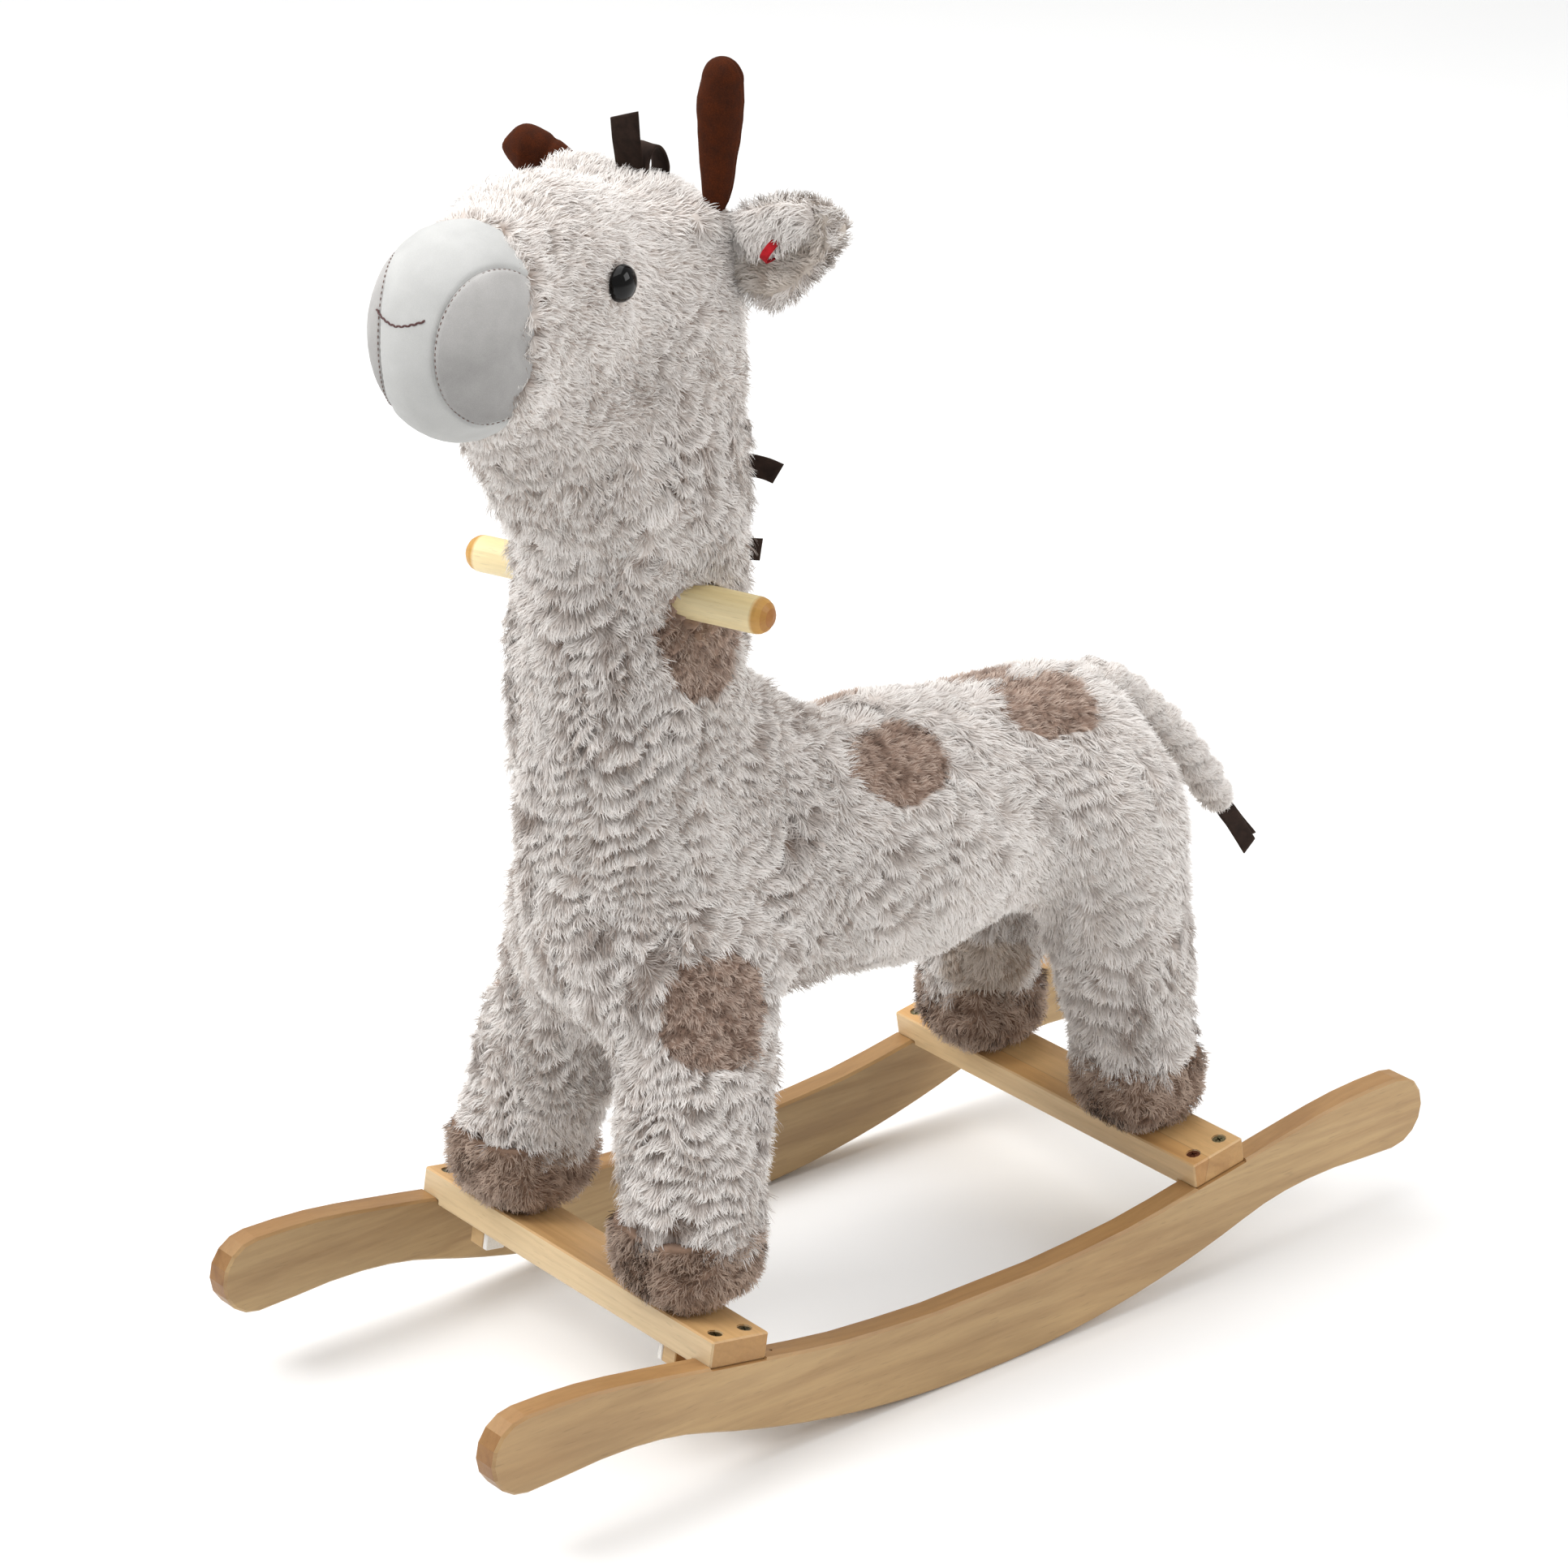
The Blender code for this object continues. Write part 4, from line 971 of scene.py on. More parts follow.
# Painted shade: the cover is coloured darker in the waves' valleys, more so where the waves are strong
shade = np.clip(0.85 * (1 - np.clip(1.2 * strong, 0, 1) * (1 - light)), 0, 1)[:, None]
cream = CREAM[0] + (CREAM[1] - CREAM[0]) * shade
brown = TAUPE[0] + (TAUPE[1] - TAUPE[0]) * shade
beige = SHADY[0] + (SHADY[1] - SHADY[0]) * shade
skin_colours = cream * (1 - taupe - pale)[:, None] + brown * taupe[:, None] + beige * pale[:, None]
skin = make_mesh("plush_cover", verts, faces, [SKIN], True, skin_colours)
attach(skin, MAIN)
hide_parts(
    "body_plush", "neck_plush", "head_plush",
    "leg_plush_front_left", "leg_plush_front_right", "leg_plush_rear_left", "leg_plush_rear_right",
)

# Roots of the pile over the cover, less where something else stands
roots, mesh_n = scattered(verts, faces, verts_n, DENSITY, 77)
nrm = gradient(plush_distance, roots)
local = to_local(roots)
grip_axis = np.hypot(local[:, 1] + 10, local[:, 2] - 510)
keep = (grip_axis > 12.6) & (local[:, 1] > muzzle_line(local) + 0.5) & (roots[:, 2] > 124)
for s in (1, -1):
    keep &= np.linalg.norm(local - (s * 59, -87, 719), axis=1) > 12.3
    keep &= np.linalg.norm(local - (s * 55, 11, 742), axis=1) > 9.5
roots, nrm, mesh_n, local = roots[keep], nrm[keep], mesh_n[keep], local[keep]
z = roots[:, 2]
crest, light, strong, to_crest, own_tuft = crests(roots)
taupe = spot_share(roots)
pale = spot_share(roots, PALE_SPOTS)
# Painted shade in the valleys, deeper where the waves are strong
light = 1 - np.clip(1.35 * strong, 0, 1) * (1 - light)
direction = unit(flow(roots, nrm) * 0.6 + downhill(roots, nrm) * (0.75 * (1 - taupe))[:, None])
is_head = (local[:, 2] > 622) & (np.abs(local[:, 0]) < 200)
full = 10.5 - 1.5 * is_head
length = np.clip(to_crest + 3.4, 4.6, full)
length = length * np.minimum(strong, 1) + full * (1 - np.minimum(strong, 1))
turn = (own_tuft[:, 0] - 0.5) * 0.8 * np.clip(strong, 0.4, 1)
light = np.where(taupe > 0, np.clip(0.5 + 1.0 * noise(roots, 3.4, 33) + 0.35 * noise(roots, 9.0, 34), 0, 1), light)
crest = np.where(taupe > 0, light, crest * np.minimum(strong, 1))
length = np.clip(length, 3.5, 12.0) * (1 - taupe) + 5.6 * taupe
for s in (1, -1):
    d_eye = np.linalg.norm(local - (s * 59, -87, 719), axis=1)
    length = np.where(d_eye < 22, length * (0.42 + 0.58 * np.clip((d_eye - 11) / 11, 0, 1)), length)
for_grip = np.where(np.abs(local[:, 0]) > 28, np.clip((grip_axis[keep] - 11) / 13, 0.4, 1), 1.0)
length = length * for_grip
lift = (0.20 + 0.12 * crest) * (1 - taupe) + (0.60 + 0.1 * crest) * taupe
n_root = unit(nrm * 0.2 + mesh_n * 0.8)
direction = unit(direction - (direction * n_root).sum(-1, keepdims=True) * n_root)
colours = palette((CREAM, TAUPE, SHADY), (1 - taupe - pale, taupe, pale))

group = np.zeros(len(roots), int)
group[is_head] = 1
group[is_head & (local[:, 1] < -60)] = 2
is_neck = ~is_head & (z > 392) & (local[:, 1] < 90)
group[is_neck] = 3 + np.digitize(z[is_neck], (440, 490, 540, 590))
is_leg = z < 225
for i, (sx, sy) in enumerate(((1, -1), (-1, -1), (1, 1), (-1, 1))):
    group[is_leg & (roots[:, 0] * sx > 0) & (roots[:, 1] * sy > 0)] = 10 + i
trunk = ~is_head & ~is_neck & ~is_leg
group[trunk] = 20 + np.digitize(roots[trunk, 1], (-190, -140, -95, -50, -5, 40, 85, 130, 175))
for g in np.unique(group):
    mine = group == g
    if mine.sum() < 10:
        continue
    data = strands(
        roots[mine], n_root[mine], length[mine], direction[mine], light[mine], [c[mine] for c in colours],
        width=THICK, clump=3.8, gather=0.2, lift=lift[mine], seed=200 + g, spread=0.45, turn=turn[mine],
    )
    strand_piece(f"pile_{g:02d}", data, MAIN)
print("pile", len(roots))

# ---------------------------------------------------------------- hooves
for i, (sx, row, where) in enumerate(((1, 0, "front_left"), (-1, 0, "front_right"), (1, 1, "rear_left"), (-1, 1, "rear_right"))):
    centre = np.array(HOOF[row]) * (sx, 1, 1)
    end = (-1, 1)[row]

    def hoof_field(p, row=row, end=end):
        d = hoof_distance(p)[row] + 4.5
        plane = 88.16 + end * TILT * (p[..., 1] - end * 190.35)
        d = np.maximum(d, plane + 1.0 - p[..., 2])
        return np.maximum(d, p[..., 2] - 139.0)

    low, high = centre - (52, 52, 48), centre + (52, 52, 22)
    hv, hf = surface(hoof_field, low, high, 5.0)
    hv, hf = finer(hv, hf)
    hn = gradient(lambda p: hoof_distance(p)[row], hv)
    bumps = noise(hv, 7.0, 41) * 1.3 + noise(hv, 3.5, 42) * 0.6
    inside = (hv[:, 2] < 136) & (hv[:, 2] > 94)
    hv = hv + hn * (bumps * inside)[:, None]
    mixing = np.clip(0.5 + 0.3 * noise(hv, 7.0, 41), 0, 1)[:, None]
    hoof = make_mesh(f"hoof_cover_{where}", hv, hf, [SKIN], True, UMBER[0] + (UMBER[1] - UMBER[0]) * mixing * 0.8)
    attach(hoof, MAIN)
    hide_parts(f"hoof_{where}")
    hr, hn_mesh = scattered(hv, hf, vertex_normals(hv, hf), DENSITY * 1.1, 300 + i)
    on = (hr[:, 2] < 137.5) & (hr[:, 2] > bar_top(hr[:, 1]) + 1.2)
    hr, hn_mesh = hr[on], hn_mesh[on]
    hn = unit(gradient(lambda p: hoof_distance(p)[row], hr) * 0.7 + hn_mesh * 0.3)
    down = np.broadcast_to(np.array((0.0, 0.0, -1.0)), hr.shape)
    lean = unit(down - (down * hn).sum(-1, keepdims=True) * hn + 1e-4)
    tuft = np.clip(0.56 + 0.3 * noise(hr, 7.0, 41) + 0.7 * noise(hr, 3.6, 43), 0, 1)
    data = strands(
        hr, hn, 5.6 + 1.4 * tuft, lean, tuft, palette((UMBER,), (np.ones(len(hr)),)),
        clump=3.8, gather=0.4, width=THICK, lift=0.62 + 0.15 * tuft, seed=320 + i, floor=above_bar, spread=1.7,
    )
    strand_piece(f"hoof_pile_{where}", data, MAIN)

# ---------------------------------------------------------------- muzzle
MC, MR = np.array(MUZZLE_AT), np.array(MUZZLE_R)
POLE = unit(np.array((0.9245, -0.381, 0.0)))
SEAM = math.acos(0.6925)
SPAN = 53.0


def muzzle_skin(q, gap, a):
    """A point of the unit ball carried to the muzzle, with its seam's pinch, its stitches' puckers and the folds below."""
    base = q * MR
    pinch = 1.25 * np.exp(-((gap / 1.5) ** 2))
    pucker = 0.25 * np.cos(a * 74) * np.exp(-((gap / 2.2) ** 2))
    under = np.clip(-q[..., 2] - 0.25, 0, 1)
    folds = 1.5 * under * np.sin(a * 9 + 1.2) * np.exp(-((gap / 13) ** 2))
    soft = 0.7 * noise(base, 30.0, 51) + 0.25 * noise(base, 12.0, 52)
    out = (-pinch + pucker + folds + soft)[..., None] * unit(base / MR**2)
    return MC + base + out


def cheek_ring(s, theta, count=132):
    a = np.linspace(0, 2 * math.pi, count, endpoint=False)
    up, ahead = np.array((0.0, 0.0, 1.0)), np.cross(POLE, (0.0, 0.0, 1.0))
    q = POLE * math.cos(theta) + math.sin(theta) * (np.cos(a)[:, None] * up + np.sin(a)[:, None] * ahead)
    return q * (s, 1, 1), a


NEAR = (0.15, 0.45, 0.9, 1.5, 2.3, 3.4, 5.0, 7.5)


def finish_panel(name, rings, node, material):
    rings = np.array(rings)
    first, last = rings[0].mean(0), rings[-1].mean(0)
    rings = np.concatenate([(first + (rings[0] - first) * 0.93)[None], rings, (last + (rings[-1] - last) * 0.93)[None]])
    verts, quads, _ = tube(rings)
    if (vertex_normals(verts, quads)[:-2] * (rings - MC).reshape(-1, 3)).sum() < 0:
        rings = rings[:, ::-1]
    obj = tube_piece(name, to_world(rings), [material])
    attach(obj, MAIN)
    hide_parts(node)
    return obj


for s, side in ((1, "left"), (-1, "right")):
    rings = []
    for d in (*NEAR, 11.0, 15.0, 20.0, 26.0, 32.0, 37.0, 40.5, 42.2):
        q, a = cheek_ring(s, SEAM - d / SPAN)
        rings.append(muzzle_skin(q, np.full(len(a), d), a))
    finish_panel(f"muzzle_cheek_{side}", rings, f"muzzle_side_{side}", MUZZLE_GREY)

left, a = cheek_ring(1, SEAM)
right = left * (-1, 1, 1)
between = np.arccos(np.clip((left * right).sum(-1), -1, 1))
long = between * SPAN
steps = [np.full(len(a), d) for d in NEAR]
middle = [NEAR[-1] + (long - 2 * NEAR[-1]) * f for f in (0.14, 0.28, 0.42, 0.5, 0.58, 0.72, 0.86)]
steps = steps + middle + [long - x for x in steps[::-1]]
rings = []
for d in steps:
    t = d / long
    q = (np.sin((1 - t) * between)[:, None] * left + np.sin(t * between)[:, None] * right) / np.sin(between)[:, None]
    rings.append(muzzle_skin(q, np.minimum(d, long - d), a))
finish_panel("muzzle_middle", rings, "muzzle_centre", MUZZLE_WHITE)


def beads(name, path, hint, long, thick, step, material, roll=0.0, squash=1.0):
    """Short thread stitches laid end to end along a path, as one mesh."""
    path = np.asarray(path, float)
    along = np.concatenate([[0], np.cumsum(np.linalg.norm(np.diff(path, axis=0), axis=1))])
    at = np.arange(step / 2, along[-1], step)
    centre = np.stack([np.interp(at, along, path[:, k]) for k in range(3)], 1)
    ahead = np.stack([np.interp(at + 0.3, along, path[:, k]) - np.interp(at - 0.3, along, path[:, k]) for k in range(3)], 1)
    t = unit(ahead)
    h = np.broadcast_to(np.asarray(hint, float), t.shape)
    side = unit(np.cross(t, h))
    up = np.cross(side, t)
    rows, columns = 7, 8
    verts, faces = [], []
    for i in range(len(at)):
        turn = roll * (1 if i % 2 else -1)
        ti = t[i] * math.cos(turn) + side[i] * math.sin(turn)
        si = -t[i] * math.sin(turn) + side[i] * math.cos(turn)
        rings = []
        for k in range(rows):
            f = -1 + 2 * (k + 0.5) / rows
            r = thick / 2 * math.sqrt(1 - abs(f) ** 2.6)
            a = np.linspace(0, 2 * math.pi, columns, endpoint=False)
            rings.append(centre[i] + ti * f * long / 2 + r * (np.cos(a)[:, None] * si + squash * np.sin(a)[:, None] * up[i]))
        v, q, e = tube(rings)
        base = sum(len(x) for x in verts)
        verts.append(v)
        faces += (q + base).tolist() + (e + base).tolist()
    mesh = bpy.data.meshes.new(name)
    mesh.from_pydata((np.concatenate(verts) / 1000).tolist(), [], faces)
    mesh.materials.append(material)
    mesh.polygons.foreach_set("use_smooth", np.full(len(mesh.polygons), True))
    mesh.update()
    obj = bpy.data.objects.new(name, mesh)
    scene.collection.objects.link(obj)
    return obj


for s, side in ((1, "left"), (-1, "right")):
    a = np.linspace(-0.6, math.pi + 0.6, 400)
    up, ahead = np.array((0.0, 0.0, 1.0)), np.cross(POLE, (0.0, 0.0, 1.0))
    theta = SEAM - 1.0 / SPAN
    q = (POLE * math.cos(theta) + math.sin(theta) * (np.cos(a)[:, None] * up + np.sin(a)[:, None] * ahead)) * (s, 1, 1)
    ring = MC + q * MR - unit(q / MR) * 0.45
    ring = ring[ring[:, 1] < muzzle_line(ring) + 2]
    thread = beads(f"muzzle_stitches_{side}", to_world(ring), turned_dir(np.array((s, 0, 0))), 2.0, 0.6, 3.4, THREAD_SEAM)
    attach(thread, MAIN)

# The mouth: a twisted chain of stitches
mx = np.linspace(-17, 17, 44)
mz = 717.2 + 4.6 * (np.abs(mx) / 17) ** 1.6
mx = mx - 5.2
my = MC[1] - MR[1] * np.sqrt(np.clip(1 - (mx / MR[0]) ** 2 - ((mz - MC[2]) / MR[2]) ** 2, 0, 1)) - 0.1
mouth = beads("mouth_chain", to_world(np.stack([mx, my, mz], 1)), turned_dir(np.array((0, -1, 0.2))), 3.2, 1.35, 2.0, THREAD_BROWN, roll=0.35)
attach(mouth, MAIN)
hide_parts("mouth_stitch")

# ---------------------------------------------------------------- eyes
for s, side in ((1, "left"), (-1, "right")):
    profile = [(2.6, -4.0), (8.8, -1.4), (9.8, -0.6), (10.4, 0.1), (10.65, 0.8), (10.55, 1.5)]
    profile += [(10.4 * math.cos(a), 1.6 + 6.9 * math.sin(a)) for a in np.linspace(0.12, 1.5, 14)]
    a = np.linspace(0, 2 * math.pi, 48, endpoint=False)
    rings = [np.stack([np.full(48, s * (55.8 + h)), -87 + r * np.cos(a), 719 + s * r * np.sin(a)], 1) for r, h in profile]
    eye = tube_piece(f"eye_dome_{side}", to_world(np.array(rings)), [EYE_BLACK])
    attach(eye, MAIN)
    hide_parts(f"eye_{side}")

# ---------------------------------------------------------------- ears
EAR_AT = (-5, -2, 4, 12, 22, 34, 46, 55, 61.5, 64.5)
EAR_TOP = (8, 12, 18, 21.5, 25, 28.5, 29.5, 27.5, 22.5, 18)
EAR_LOW = (-12, -19, -29, -33.5, -34, -27, -14, -4, 5, 11)


def ear_half(u):
    return (np.interp(u, EAR_AT, EAR_TOP) - np.interp(u, EAR_AT, EAR_LOW)) / 2


def ear_middle(u):
    return (np.interp(u, EAR_AT, EAR_TOP) + np.interp(u, EAR_AT, EAR_LOW)) / 2


def ear_place(s, u, v, w):
    """A point of an ear: out from its hinge, up, and towards the front. The right ear hangs lower."""
    if s < 0:
        v = v * 0.86 - 0.5 * np.clip(u, 0, None)
    return to_world(np.stack([s * (65.0 + u), 22.0 - w, 718.0 + v], -1))


def ear_turn(s, d):
    d = np.asarray(d, float)
    return turned_dir(np.stack([s * d[..., 0], -d[..., 2], d[..., 1]], -1))


for s, side in ((1, "left"), (-1, "right")):
    body = f"ear_{side}"
    stations = np.concatenate([np.linspace(-5, 4, 5), np.linspace(8, 50, 13), np.linspace(53, 64.4, 7)])
    a = np.linspace(0, 2 * math.pi, 44, endpoint=False)
    rings = []
    for u in stations:
        half = float(ear_half(u))
        thick = 3.0 + 1.6 * min(1.0, half / 18)
        v = half * np.cos(a)
        cup = 4.5 * (v / max(half, 1)) ** 2 * min(1.0, half / 20)
        w = cup - 1.5 + thick * np.sin(a) * (1 + 0.35 * np.abs(np.cos(a)))
        rings.append(ear_place(s, np.full(44, u), v + float(ear_middle(u)), w)[:: s])
    rings = np.array(rings)
    verts, quads, ends = tube(rings)
    own_n = vertex_normals(verts, quads)
    if (own_n * (verts - verts.mean(0))).sum() < 0:
        own_n = -own_n
        rings = rings[:, ::-1]
        verts, quads, ends = tube(rings)
        own_n = vertex_normals(verts, quads)
    cover = tube_piece(f"ear_cover_{side}", rings, [SKIN], colours=np.broadcast_to(INNER[1] * 0.85, verts.shape))
    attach(cover, body)
    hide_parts(f"ear_{side}")
    r, rn = scattered(verts, quads, own_n, DENSITY * 1.5, 400)
    loc = to_local(r)
    u, v, w = s * loc[:, 0] - 65.0, loc[:, 2] - 718.0, 22.0 - loc[:, 1]
    front = (rn * ear_turn(s, np.array((0.0, 0.0, 1.0)))).sum(-1)
    inside = np.clip((front - 0.25) * 3, 0, 1) * (np.abs(v - ear_middle(u)) < 0.8 * ear_half(u)) * (u < 56)
    spoke = ear_turn(s, np.stack([u - 22, v * 1.1, np.zeros(len(u))], -1))
    inward = ear_turn(s, np.stack([np.full(len(u), -0.4), -0.6 * np.sign(v) - 0.6, np.zeros(len(u))], -1))
    lean = spoke * (1 - inside)[:, None] / 25 + inward * inside[:, None]
    lean = unit(lean - (lean * rn).sum(-1, keepdims=True) * rn + 1e-4)
    rim = np.clip(1 - np.abs(front) * 1.2, 0, 1)
    wave = np.clip(0.82 + 0.7 * noise(r, 7.5, 61), 0, 1)
    data = strands(
        r, rn, 6.0 + 3.5 * rim + 1.5 * wave, lean, wave, palette((CREAM, INNER), (1 - inside, inside)),
        clump=4.5, gather=0.45, width=THICK, lift=0.42 + 0.25 * rim + 0.1 * inside, seed=410 + s, spread=0.8 + 0.0 * s,
    )
    strand_piece(f"ear_pile_{side}", data, body)
    # The upper edge, folded down over the front
    line = smooth_path([(-3, 3, 4.0), (8, 7, 9.5), (22, 12, 12.0), (36, 18, 11.0), (50, 23, 6.0)], 18)
    t = np.linspace(0, 1, 18)
    place = ear_place(s, line[:, 0], line[:, 1], line[:, 2])
    tangent, across, face = frames_along(place, ear_turn(s, np.array((-0.45, 0.9, 0.0))))
    flap = []
    ring_a = np.linspace(0, 2 * math.pi, 24, endpoint=False)
    for i in range(18):
        wide = 12.0 * (0.55 + 0.45 * math.sin(math.pi * min(1, 0.15 + 0.8 * t[i]))) * (1 - 0.6 * max(0, t[i] - 0.8) * 5 * 0.6)
        flap.append(place[i] + across[i] * wide * np.cos(ring_a)[:, None] + face[i] * 2.6 * np.sin(ring_a)[:, None])
    flap = np.array(flap)
    fv, fq, fe = tube(flap)
    fn = vertex_normals(fv, fq)
    if (fn * (fv - np.repeat(np.concatenate([place, place[:1], place[-1:]]), [24] * 18 + [1, 1], axis=0)[: len(fv)])).sum() < 0:
        flap = flap[:, ::-1]
        fv, fq, fe = tube(flap)
        fn = vertex_normals(fv, fq)
    fold = tube_piece(f"ear_fold_{side}", flap, [SKIN], colours=np.broadcast_to(CREAM[1] * 0.8, fv.shape))
    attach(fold, body)
    r, rn = scattered(fv, fq, fn, DENSITY * 1.6, 440)
    lean = ear_turn(s, np.array((-0.35, -0.9, 0.15)))
    lean = unit(lean - (rn @ lean)[:, None] * rn + 1e-4)
    wave = np.clip(0.86 + 0.45 * noise(r, 7.5, 62), 0, 1)
    data = strands(r, rn, 6.5 + 2.5 * wave, lean, wave, palette((CREAM,), (np.ones(len(r)),)), clump=4.5, gather=0.45, width=THICK, lift=0.4 + 0.1 * wave, seed=450 + s)
    strand_piece(f"ear_fold_pile_{side}", data, body)

# ---------------------------------------------------------------- strips of felt


def strip(name, path, width, thick, hint, material, body, node=None, cut=0.0, ripple=0.35):
    """A flat strip of felt with soft edges. cut slants its far end by that many millimetres."""
    path = smooth_path(path, 26)
    tangent, side, face = frames_along(path, hint)
    across = np.array([-0.5, -0.47, -0.3, 0, 0.3, 0.47, 0.5])
    top = np.array([0.0, 0.5, 0.5, 0.5, 0.5, 0.5, 0.0])
    rings = []
    wide = width if np.ndim(width) else np.full(len(path), width)
    for i in range(len(path)):
        f = i / (len(path) - 1)
        slant = cut * f**6 * across
        bow = ripple * noise(path[i] + np.outer(across, side[i]) * wide[i], 11.0, 71)
        centre = path[i] + side[i] * (across * wide[i])[:, None] + tangent[i] * slant[:, None] + face[i] * bow[:, None]
        upper = centre + face[i] * (thick * top)[:, None]
        lower = centre - face[i] * (thick * top)[:, None]
        rings.append(np.concatenate([upper, lower[1:-1][::-1]]))
    rings = np.array(rings)
    verts, quads, _ = tube(rings)
    n = vertex_normals(verts, quads)
    if (n[:-2] * (rings - rings.mean(1, keepdims=True)).reshape(-1, 3)).sum() < 0:
        rings = rings[:, ::-1]
    obj = tube_piece(name, rings, [material])
    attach(obj, body)
    if node:
        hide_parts(node)
    return obj


def lw(points):
    return to_world(np.array(points, float))


strip("forelock_strip_front", lw([(-1, 9.0, 750), (-1.0, 7.0, 760), (-0.6, 4.5, 770), (0, 2.0, 784)]), 17.0, 1.5, turned_dir(np.array((1, 0.25, 0))), FELT_DARK, MAIN, "forelock_ribbons", cut=5.0)
strip("forelock_strip_back", lw([(3, 11.0, 748), (3.5, 14.0, 759), (4.5, 19.0, 764.0), (5.5, 25.0, 760), (6, 29, 751), (6, 28, 743)]), 14.0, 1.5, turned_dir(np.array((1, -0.2, 0))), FELT_DARK, MAIN)
for name, height, drop_z, reach in (("mane_strip_upper", 564.0, -5.0, 1.05), ("mane_strip_lower", 507.0, 0.0, 0.78)):
    line = [(-8.0, 62.0, height), (8.0, 71.0, height), (22.0, 80.0, height + drop_z / 2), (36.0 * reach, 86.0, height + drop_z), (44.0 * reach, 89.0, height + drop_z * 1.6)]
    strip(name, lw(line), 14.0, 1.5, (0, 0, 1), FELT_DARK, MAIN, name.replace("strip", "ribbon"), cut=2.0)

# The red tag: a narrow band folded in two, its ends under the fold of the ear
tag = [(32.0, 9.0, 8.0), (31.5, 7.0, 15.5), (29.5, 3.5, 18.6), (26.8, -0.5, 19.2), (24.5, -4.0, 17.4), (23.8, -5.2, 13.5), (24.5, -4.5, 7.0)]
tag = np.array([ear_place(1, *np.array(p, float)) for p in tag])
strip("ear_label", tag, np.interp(np.linspace(0, 1, 26), [0, 0.4, 0.6, 1], [4.8, 5.4, 5.4, 4.8]), 0.8, ear_turn(1, np.array((0.83, -0.5, 0.0))), TAG_RED, "ear_left", "ear_tag", ripple=0.1)

# ---------------------------------------------------------------- horns


def horn_skin(name, path, radii, hint, seam_at, node, body, flat=1.0, crease=None):
    rings = []
    tangent, side, face = frames_along(path, hint)
    a = np.linspace(0, 2 * math.pi, 56, endpoint=False)
    for i, (p, r) in enumerate(zip(path, radii)):
        gap = np.abs((a - seam_at + math.pi) % (2 * math.pi) - math.pi) * max(r, 1.0)
        radius = r - 0.9 * np.exp(-((gap / 0.9) ** 2)) + 0.35 * np.exp(-(((gap - 2.2) / 1.4) ** 2))
        around = p + side[i] * (radius * np.cos(a))[:, None] + face[i] * (radius * flat * np.sin(a))[:, None]
        push = 0.55 * noise(around, 14.0, 81) + 0.25 * noise(around, 6.0, 82)
        if crease is not None:
            push = push - crease(i / (len(path) - 1), a)
        around = around + unit(around - p) * (push * min(1.0, r / 5.0))[:, None]
        rings.append(around)
    rings = np.array(rings)
    verts, quads, _ = tube(rings)
    n = vertex_normals(verts, quads)[:-2]
    if (n * (rings - np.asarray(path)[:, None, :]).reshape(-1, 3)).sum() < 0:
        rings = rings[:, ::-1]
    obj = tube_piece(name, rings, [HORN_BROWN])
    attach(obj, body)
    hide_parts(node)
    return obj


foot = np.array((55.0, 11.0, 748.0))
tip = np.array((57.4, 15.0, 822.0))
f = np.concatenate([np.linspace(-0.2, 0.82, 30), 0.82 + 0.18 * np.sin(np.linspace(0.12, 1.54, 12))])
line = foot + np.outer(f, tip - foot) + np.outer(np.sin(np.clip(f, 0, 1) * math.pi), (-0.8, 0.6, 0))
r = np.interp(f, [-0.2, -0.08, 0.0, 0.12, 0.25, 0.4, 0.55, 0.68, 0.78, 0.82], [4.0, 7.8, 9.0, 9.8, 11.0, 12.4, 13.4, 13.3, 12.4, 11.9])
r = np.where(f > 0.82, 11.9 * np.sqrt(np.clip(1 - (np.clip(f - 0.82, 0, 1) / 0.18) ** 2.2, 0.0009, 1)), r)
horn_skin("horn_cover_left", to_world(line), r, turned_dir(np.array((1, 0, 0))), 0.15, "horn_left", "horn_left", flat=0.92)
ACROSS, UPWARD = np.array((0.847, 0.531, 0.0)), np.array((-0.205, 0.327, 0.922))
line = [(12, -8), (6, -3.5), (0, 0), (-6, 3.2), (-12, 5.6), (-17, 6.8), (-20.5, 7.2), (-24, 7.4), (-27, 7.6), (-28.6, 7.7)]
line = smooth_path([tuple(np.array((-55.0, 11.0, 748.0)) + a * ACROSS + b * UPWARD) for a, b in line], 40)
t = np.linspace(0, 1, 40)
r = np.interp(t, [0, 0.15, 0.3, 0.45, 0.6, 0.7, 0.76, 0.84, 0.92, 0.97, 1.0], [8.5, 9.8, 11.2, 12.4, 13.6, 14.2, 14.0, 11.6, 7.6, 4.6, 1.6])
horn_skin(
    "horn_cover_right", to_world(line), r, turned_dir(np.array((0.2, -1, 0))), 2.2, "horn_right", "horn_right", flat=0.95,
    crease=lambda f, a: 1.4 * math.exp(-(((f - 0.42) / 0.05) ** 2)) * np.clip(np.cos(a - 1.2), 0, 1),
)

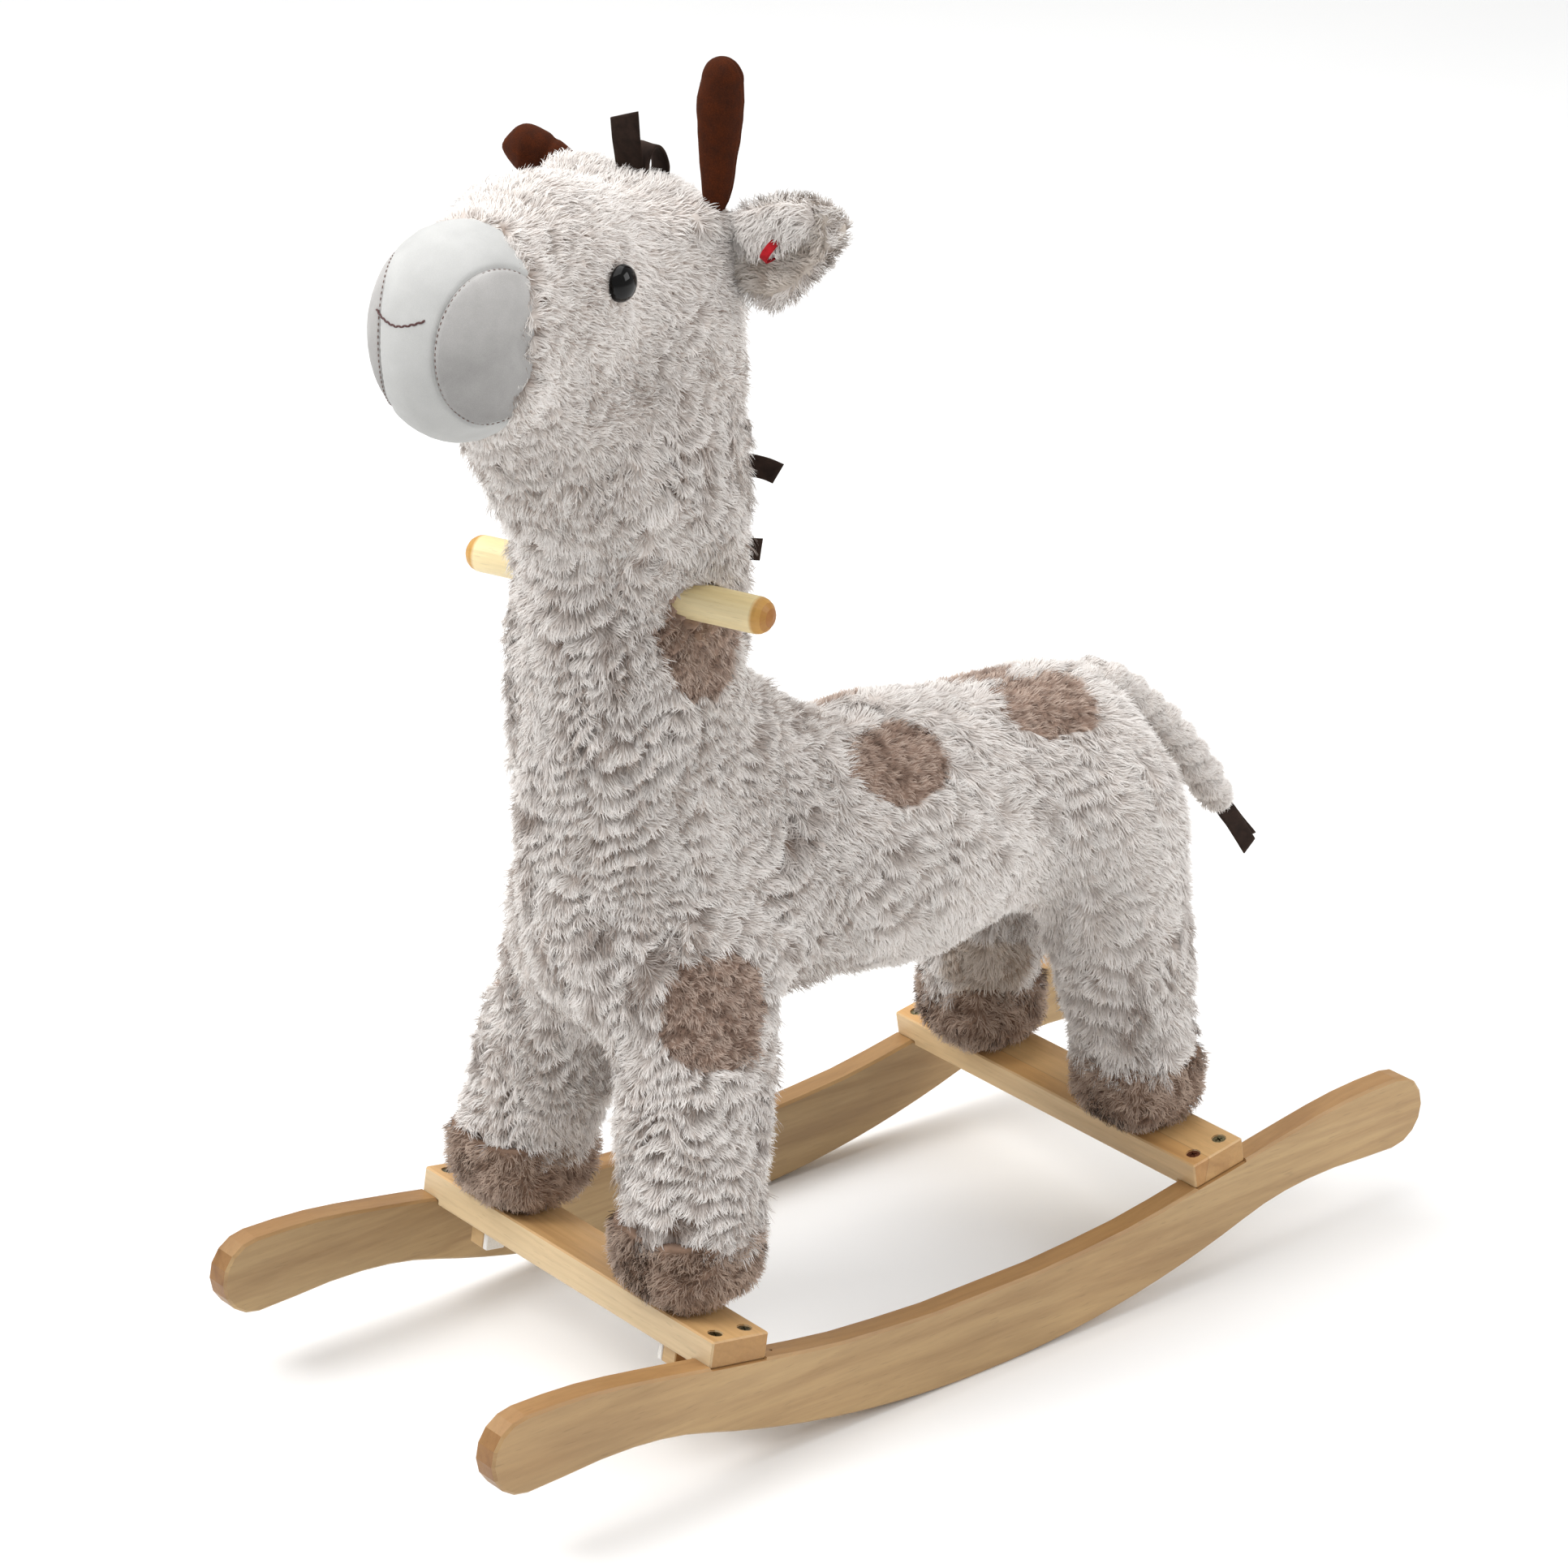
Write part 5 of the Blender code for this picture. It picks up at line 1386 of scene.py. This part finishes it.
# ---------------------------------------------------------------- tail
tail_line = smooth_path([(0, 197, 358), (0, 211, 357.5), (0, 227, 350), (0, 245, 333.5), (0, 264, 316.5), (0, 283, 294.5), (0, 302, 270.5), (0, 316, 252)], 90)
along = np.concatenate([[0], np.cumsum(np.linalg.norm(np.diff(tail_line, axis=0), axis=1))])
tangent, side, face = frames_along(tail_line, (1, 0, 0))
theta = 2 * math.pi * along / 60.0
for k in range(3):
    phase = theta + 2 * math.pi * k / 3
    swell = np.interp(along, [0, 12, along[-1] - 14, along[-1]], [0.75, 1.0, 1.0, 0.8])
    centre = tail_line + side * (7.2 * swell * np.sin(phase))[:, None] + face * (4.6 * swell * np.sin(2 * phase))[:, None]
    ct, cs, cf = frames_along(centre, (1, 0, 0))
    radius = 8.2 * np.interp(np.arange(90), [0, 6, 82, 89], [0.8, 1, 1, 0.5])
    a = np.linspace(0, 2 * math.pi, 18, endpoint=False)
    rings = np.array([centre[i] + radius[i] * (cs[i] * np.cos(a)[:, None] + cf[i] * 0.86 * np.sin(a)[:, None]) for i in range(90)])
    verts, quads, _ = tube(rings)
    n = vertex_normals(verts, quads)
    if (n[:-2] * (rings - centre[:, None, :]).reshape(-1, 3)).sum() < 0:
        rings = rings[:, ::-1]
        verts, quads, _ = tube(rings)
        n = vertex_normals(verts, quads)
    braid = tube_piece(f"tail_strand_{k + 1}", rings, [SKIN], colours=np.broadcast_to(CREAM[1] * 0.8, verts.shape))
    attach(braid, "tail")
    if k == 0:
        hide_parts("tail_braid")
    r, rn = scattered(verts, quads, n, DENSITY * 1.7, 500 + k)
    near_i = np.abs(r[:, None, 1:] - centre[None, ::6, 1:]).sum(-1).argmin(1) * 6
    lean = ct[near_i]
    lean = unit(lean - (lean * rn).sum(-1, keepdims=True) * rn + 1e-4)
    # Painted shade: the pile is coloured darker towards the braid's middle, with the inner palette and dimmer tips,
    # where the three strands press together
    outer = np.clip((((r - tail_line[near_i]) ** 2).sum(-1) ** 0.5 - 4.0) / 8.0, 0.15, 1)
    data = strands(r, rn, np.full(len(r), 4.6), lean, np.clip(0.4 + 0.95 * outer + 0.25 * noise(r, 6.0, 64), 0, 1), palette((INNER, CREAM), (0.5 - 0.5 * outer, 0.5 + 0.5 * outer)), clump=3.4, gather=0.3, width=THICK * 0.9, lift=0.3 + 0.12 * outer, seed=510 + k, spread=0.6)
    strand_piece(f"tail_pile_{k + 1}", data, "tail")
end = tail_line[-1]
ahead = unit(tail_line[-1] - tail_line[-6])
a = np.linspace(0, 2 * math.pi, 24, endpoint=False)
knot_line = [end + ahead * d for d in (-9, -6, -2, 2, 6, 9, 11, 12)]
knot_r = [5.5, 8.2, 9.4, 9.4, 8.2, 6.0, 3.4, 1.0]
_, ks, kf = frames_along(np.array(knot_line), (1, 0, 0))
rings = np.array([p + r * (ks[i] * np.cos(a)[:, None] + kf[i] * np.sin(a)[:, None]) for i, (p, r) in enumerate(zip(knot_line, knot_r))])
verts, quads, _ = tube(rings)
n = vertex_normals(verts, quads)
if (n[:-2] * (rings - np.array(knot_line)[:, None, :]).reshape(-1, 3)).sum() < 0:
    rings = rings[:, ::-1]
    verts, quads, _ = tube(rings)
    n = vertex_normals(verts, quads)
knot = tube_piece("tail_knot", rings, [SKIN], colours=np.broadcast_to(CREAM[1] * 0.8, verts.shape))
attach(knot, "tail")
r, rn = scattered(verts, quads, n, DENSITY * 1.6, 540)
lean = unit(ahead - (rn @ ahead)[:, None] * rn + 1e-4)
wave = np.clip(0.86 + 0.45 * noise(r, 7.0, 63), 0, 1)
data = strands(r, rn, 5.5 + 1.5 * wave, lean, wave, palette((CREAM,), (np.ones(len(r)),)), clump=4.0, gather=0.4, width=THICK, lift=0.4, seed=541)
strand_piece("tail_knot_pile", data, "tail")
for k, (off, bend, wide) in enumerate(((-1.5, -2.5, 12.5), (1.5, 2.0, 12.0))):
    start = end + ahead * 4
    line = [start + ahead * d + np.array((off * d / 40, 0, 0)) + np.array((0, -0.05, -0.06)) * bend * (d / 14) ** 2 for d in (0, 12, 24, 36, 48 + 3 * k)]
    strip(f"tail_felt_{k + 1}", line, wide, 1.4, (0.45 - 0.3 * k, 0.7, 0.55), FELT_DARK, "tail", "tail_tuft" if k == 0 else None, cut=4.0 - 8.0 * k, ripple=0.8)

# ---------------------------------------------------------------- floor and light
floor = make_mesh("floor", np.array([(-9000, -9000, 0), (9000, -9000, 0), (9000, 9000, 0), (-9000, 9000, 0)], float), np.array([[0, 1, 2, 3]]), [])
m = Nodes("pale_floor")
soft = m.noise(m.place(), 3.0, 2.0)
floor.data.materials.append(m.set(Base_Color=m.mix(srgb(247, 247, 247), srgb(250, 250, 249), soft), Roughness=0.9, Specular_IOR_Level=0.1))

world = bpy.data.worlds.new("studio")
world.use_nodes = True
world.node_tree.nodes["Background"].inputs[0].default_value = (1.0, 1.0, 1.0, 1.0)
world.node_tree.nodes["Background"].inputs[1].default_value = 0.48
scene.world = world


def softbox(name, place, aim, size, power):
    data = bpy.data.lights.new(name, "AREA")
    data.shape, data.size, data.energy = "SQUARE", size, power
    obj = bpy.data.objects.new(name, data)
    obj.location = place
    obj.rotation_euler = (Vector(aim) - Vector(place)).to_track_quat("-Z", "Y").to_euler()
    scene.collection.objects.link(obj)


softbox("key", (-1.0, -2.4, 2.9), (0, 0, 0.4), 1.3, 45.0)
softbox("fill", (2.3, 1.9, 2.0), (0, 0, 0.4), 1.8, 38.0)
softbox("top", (-1.2, -0.4, 4.0), (-0.6, 0.4, 0), 5.4, 182.0)
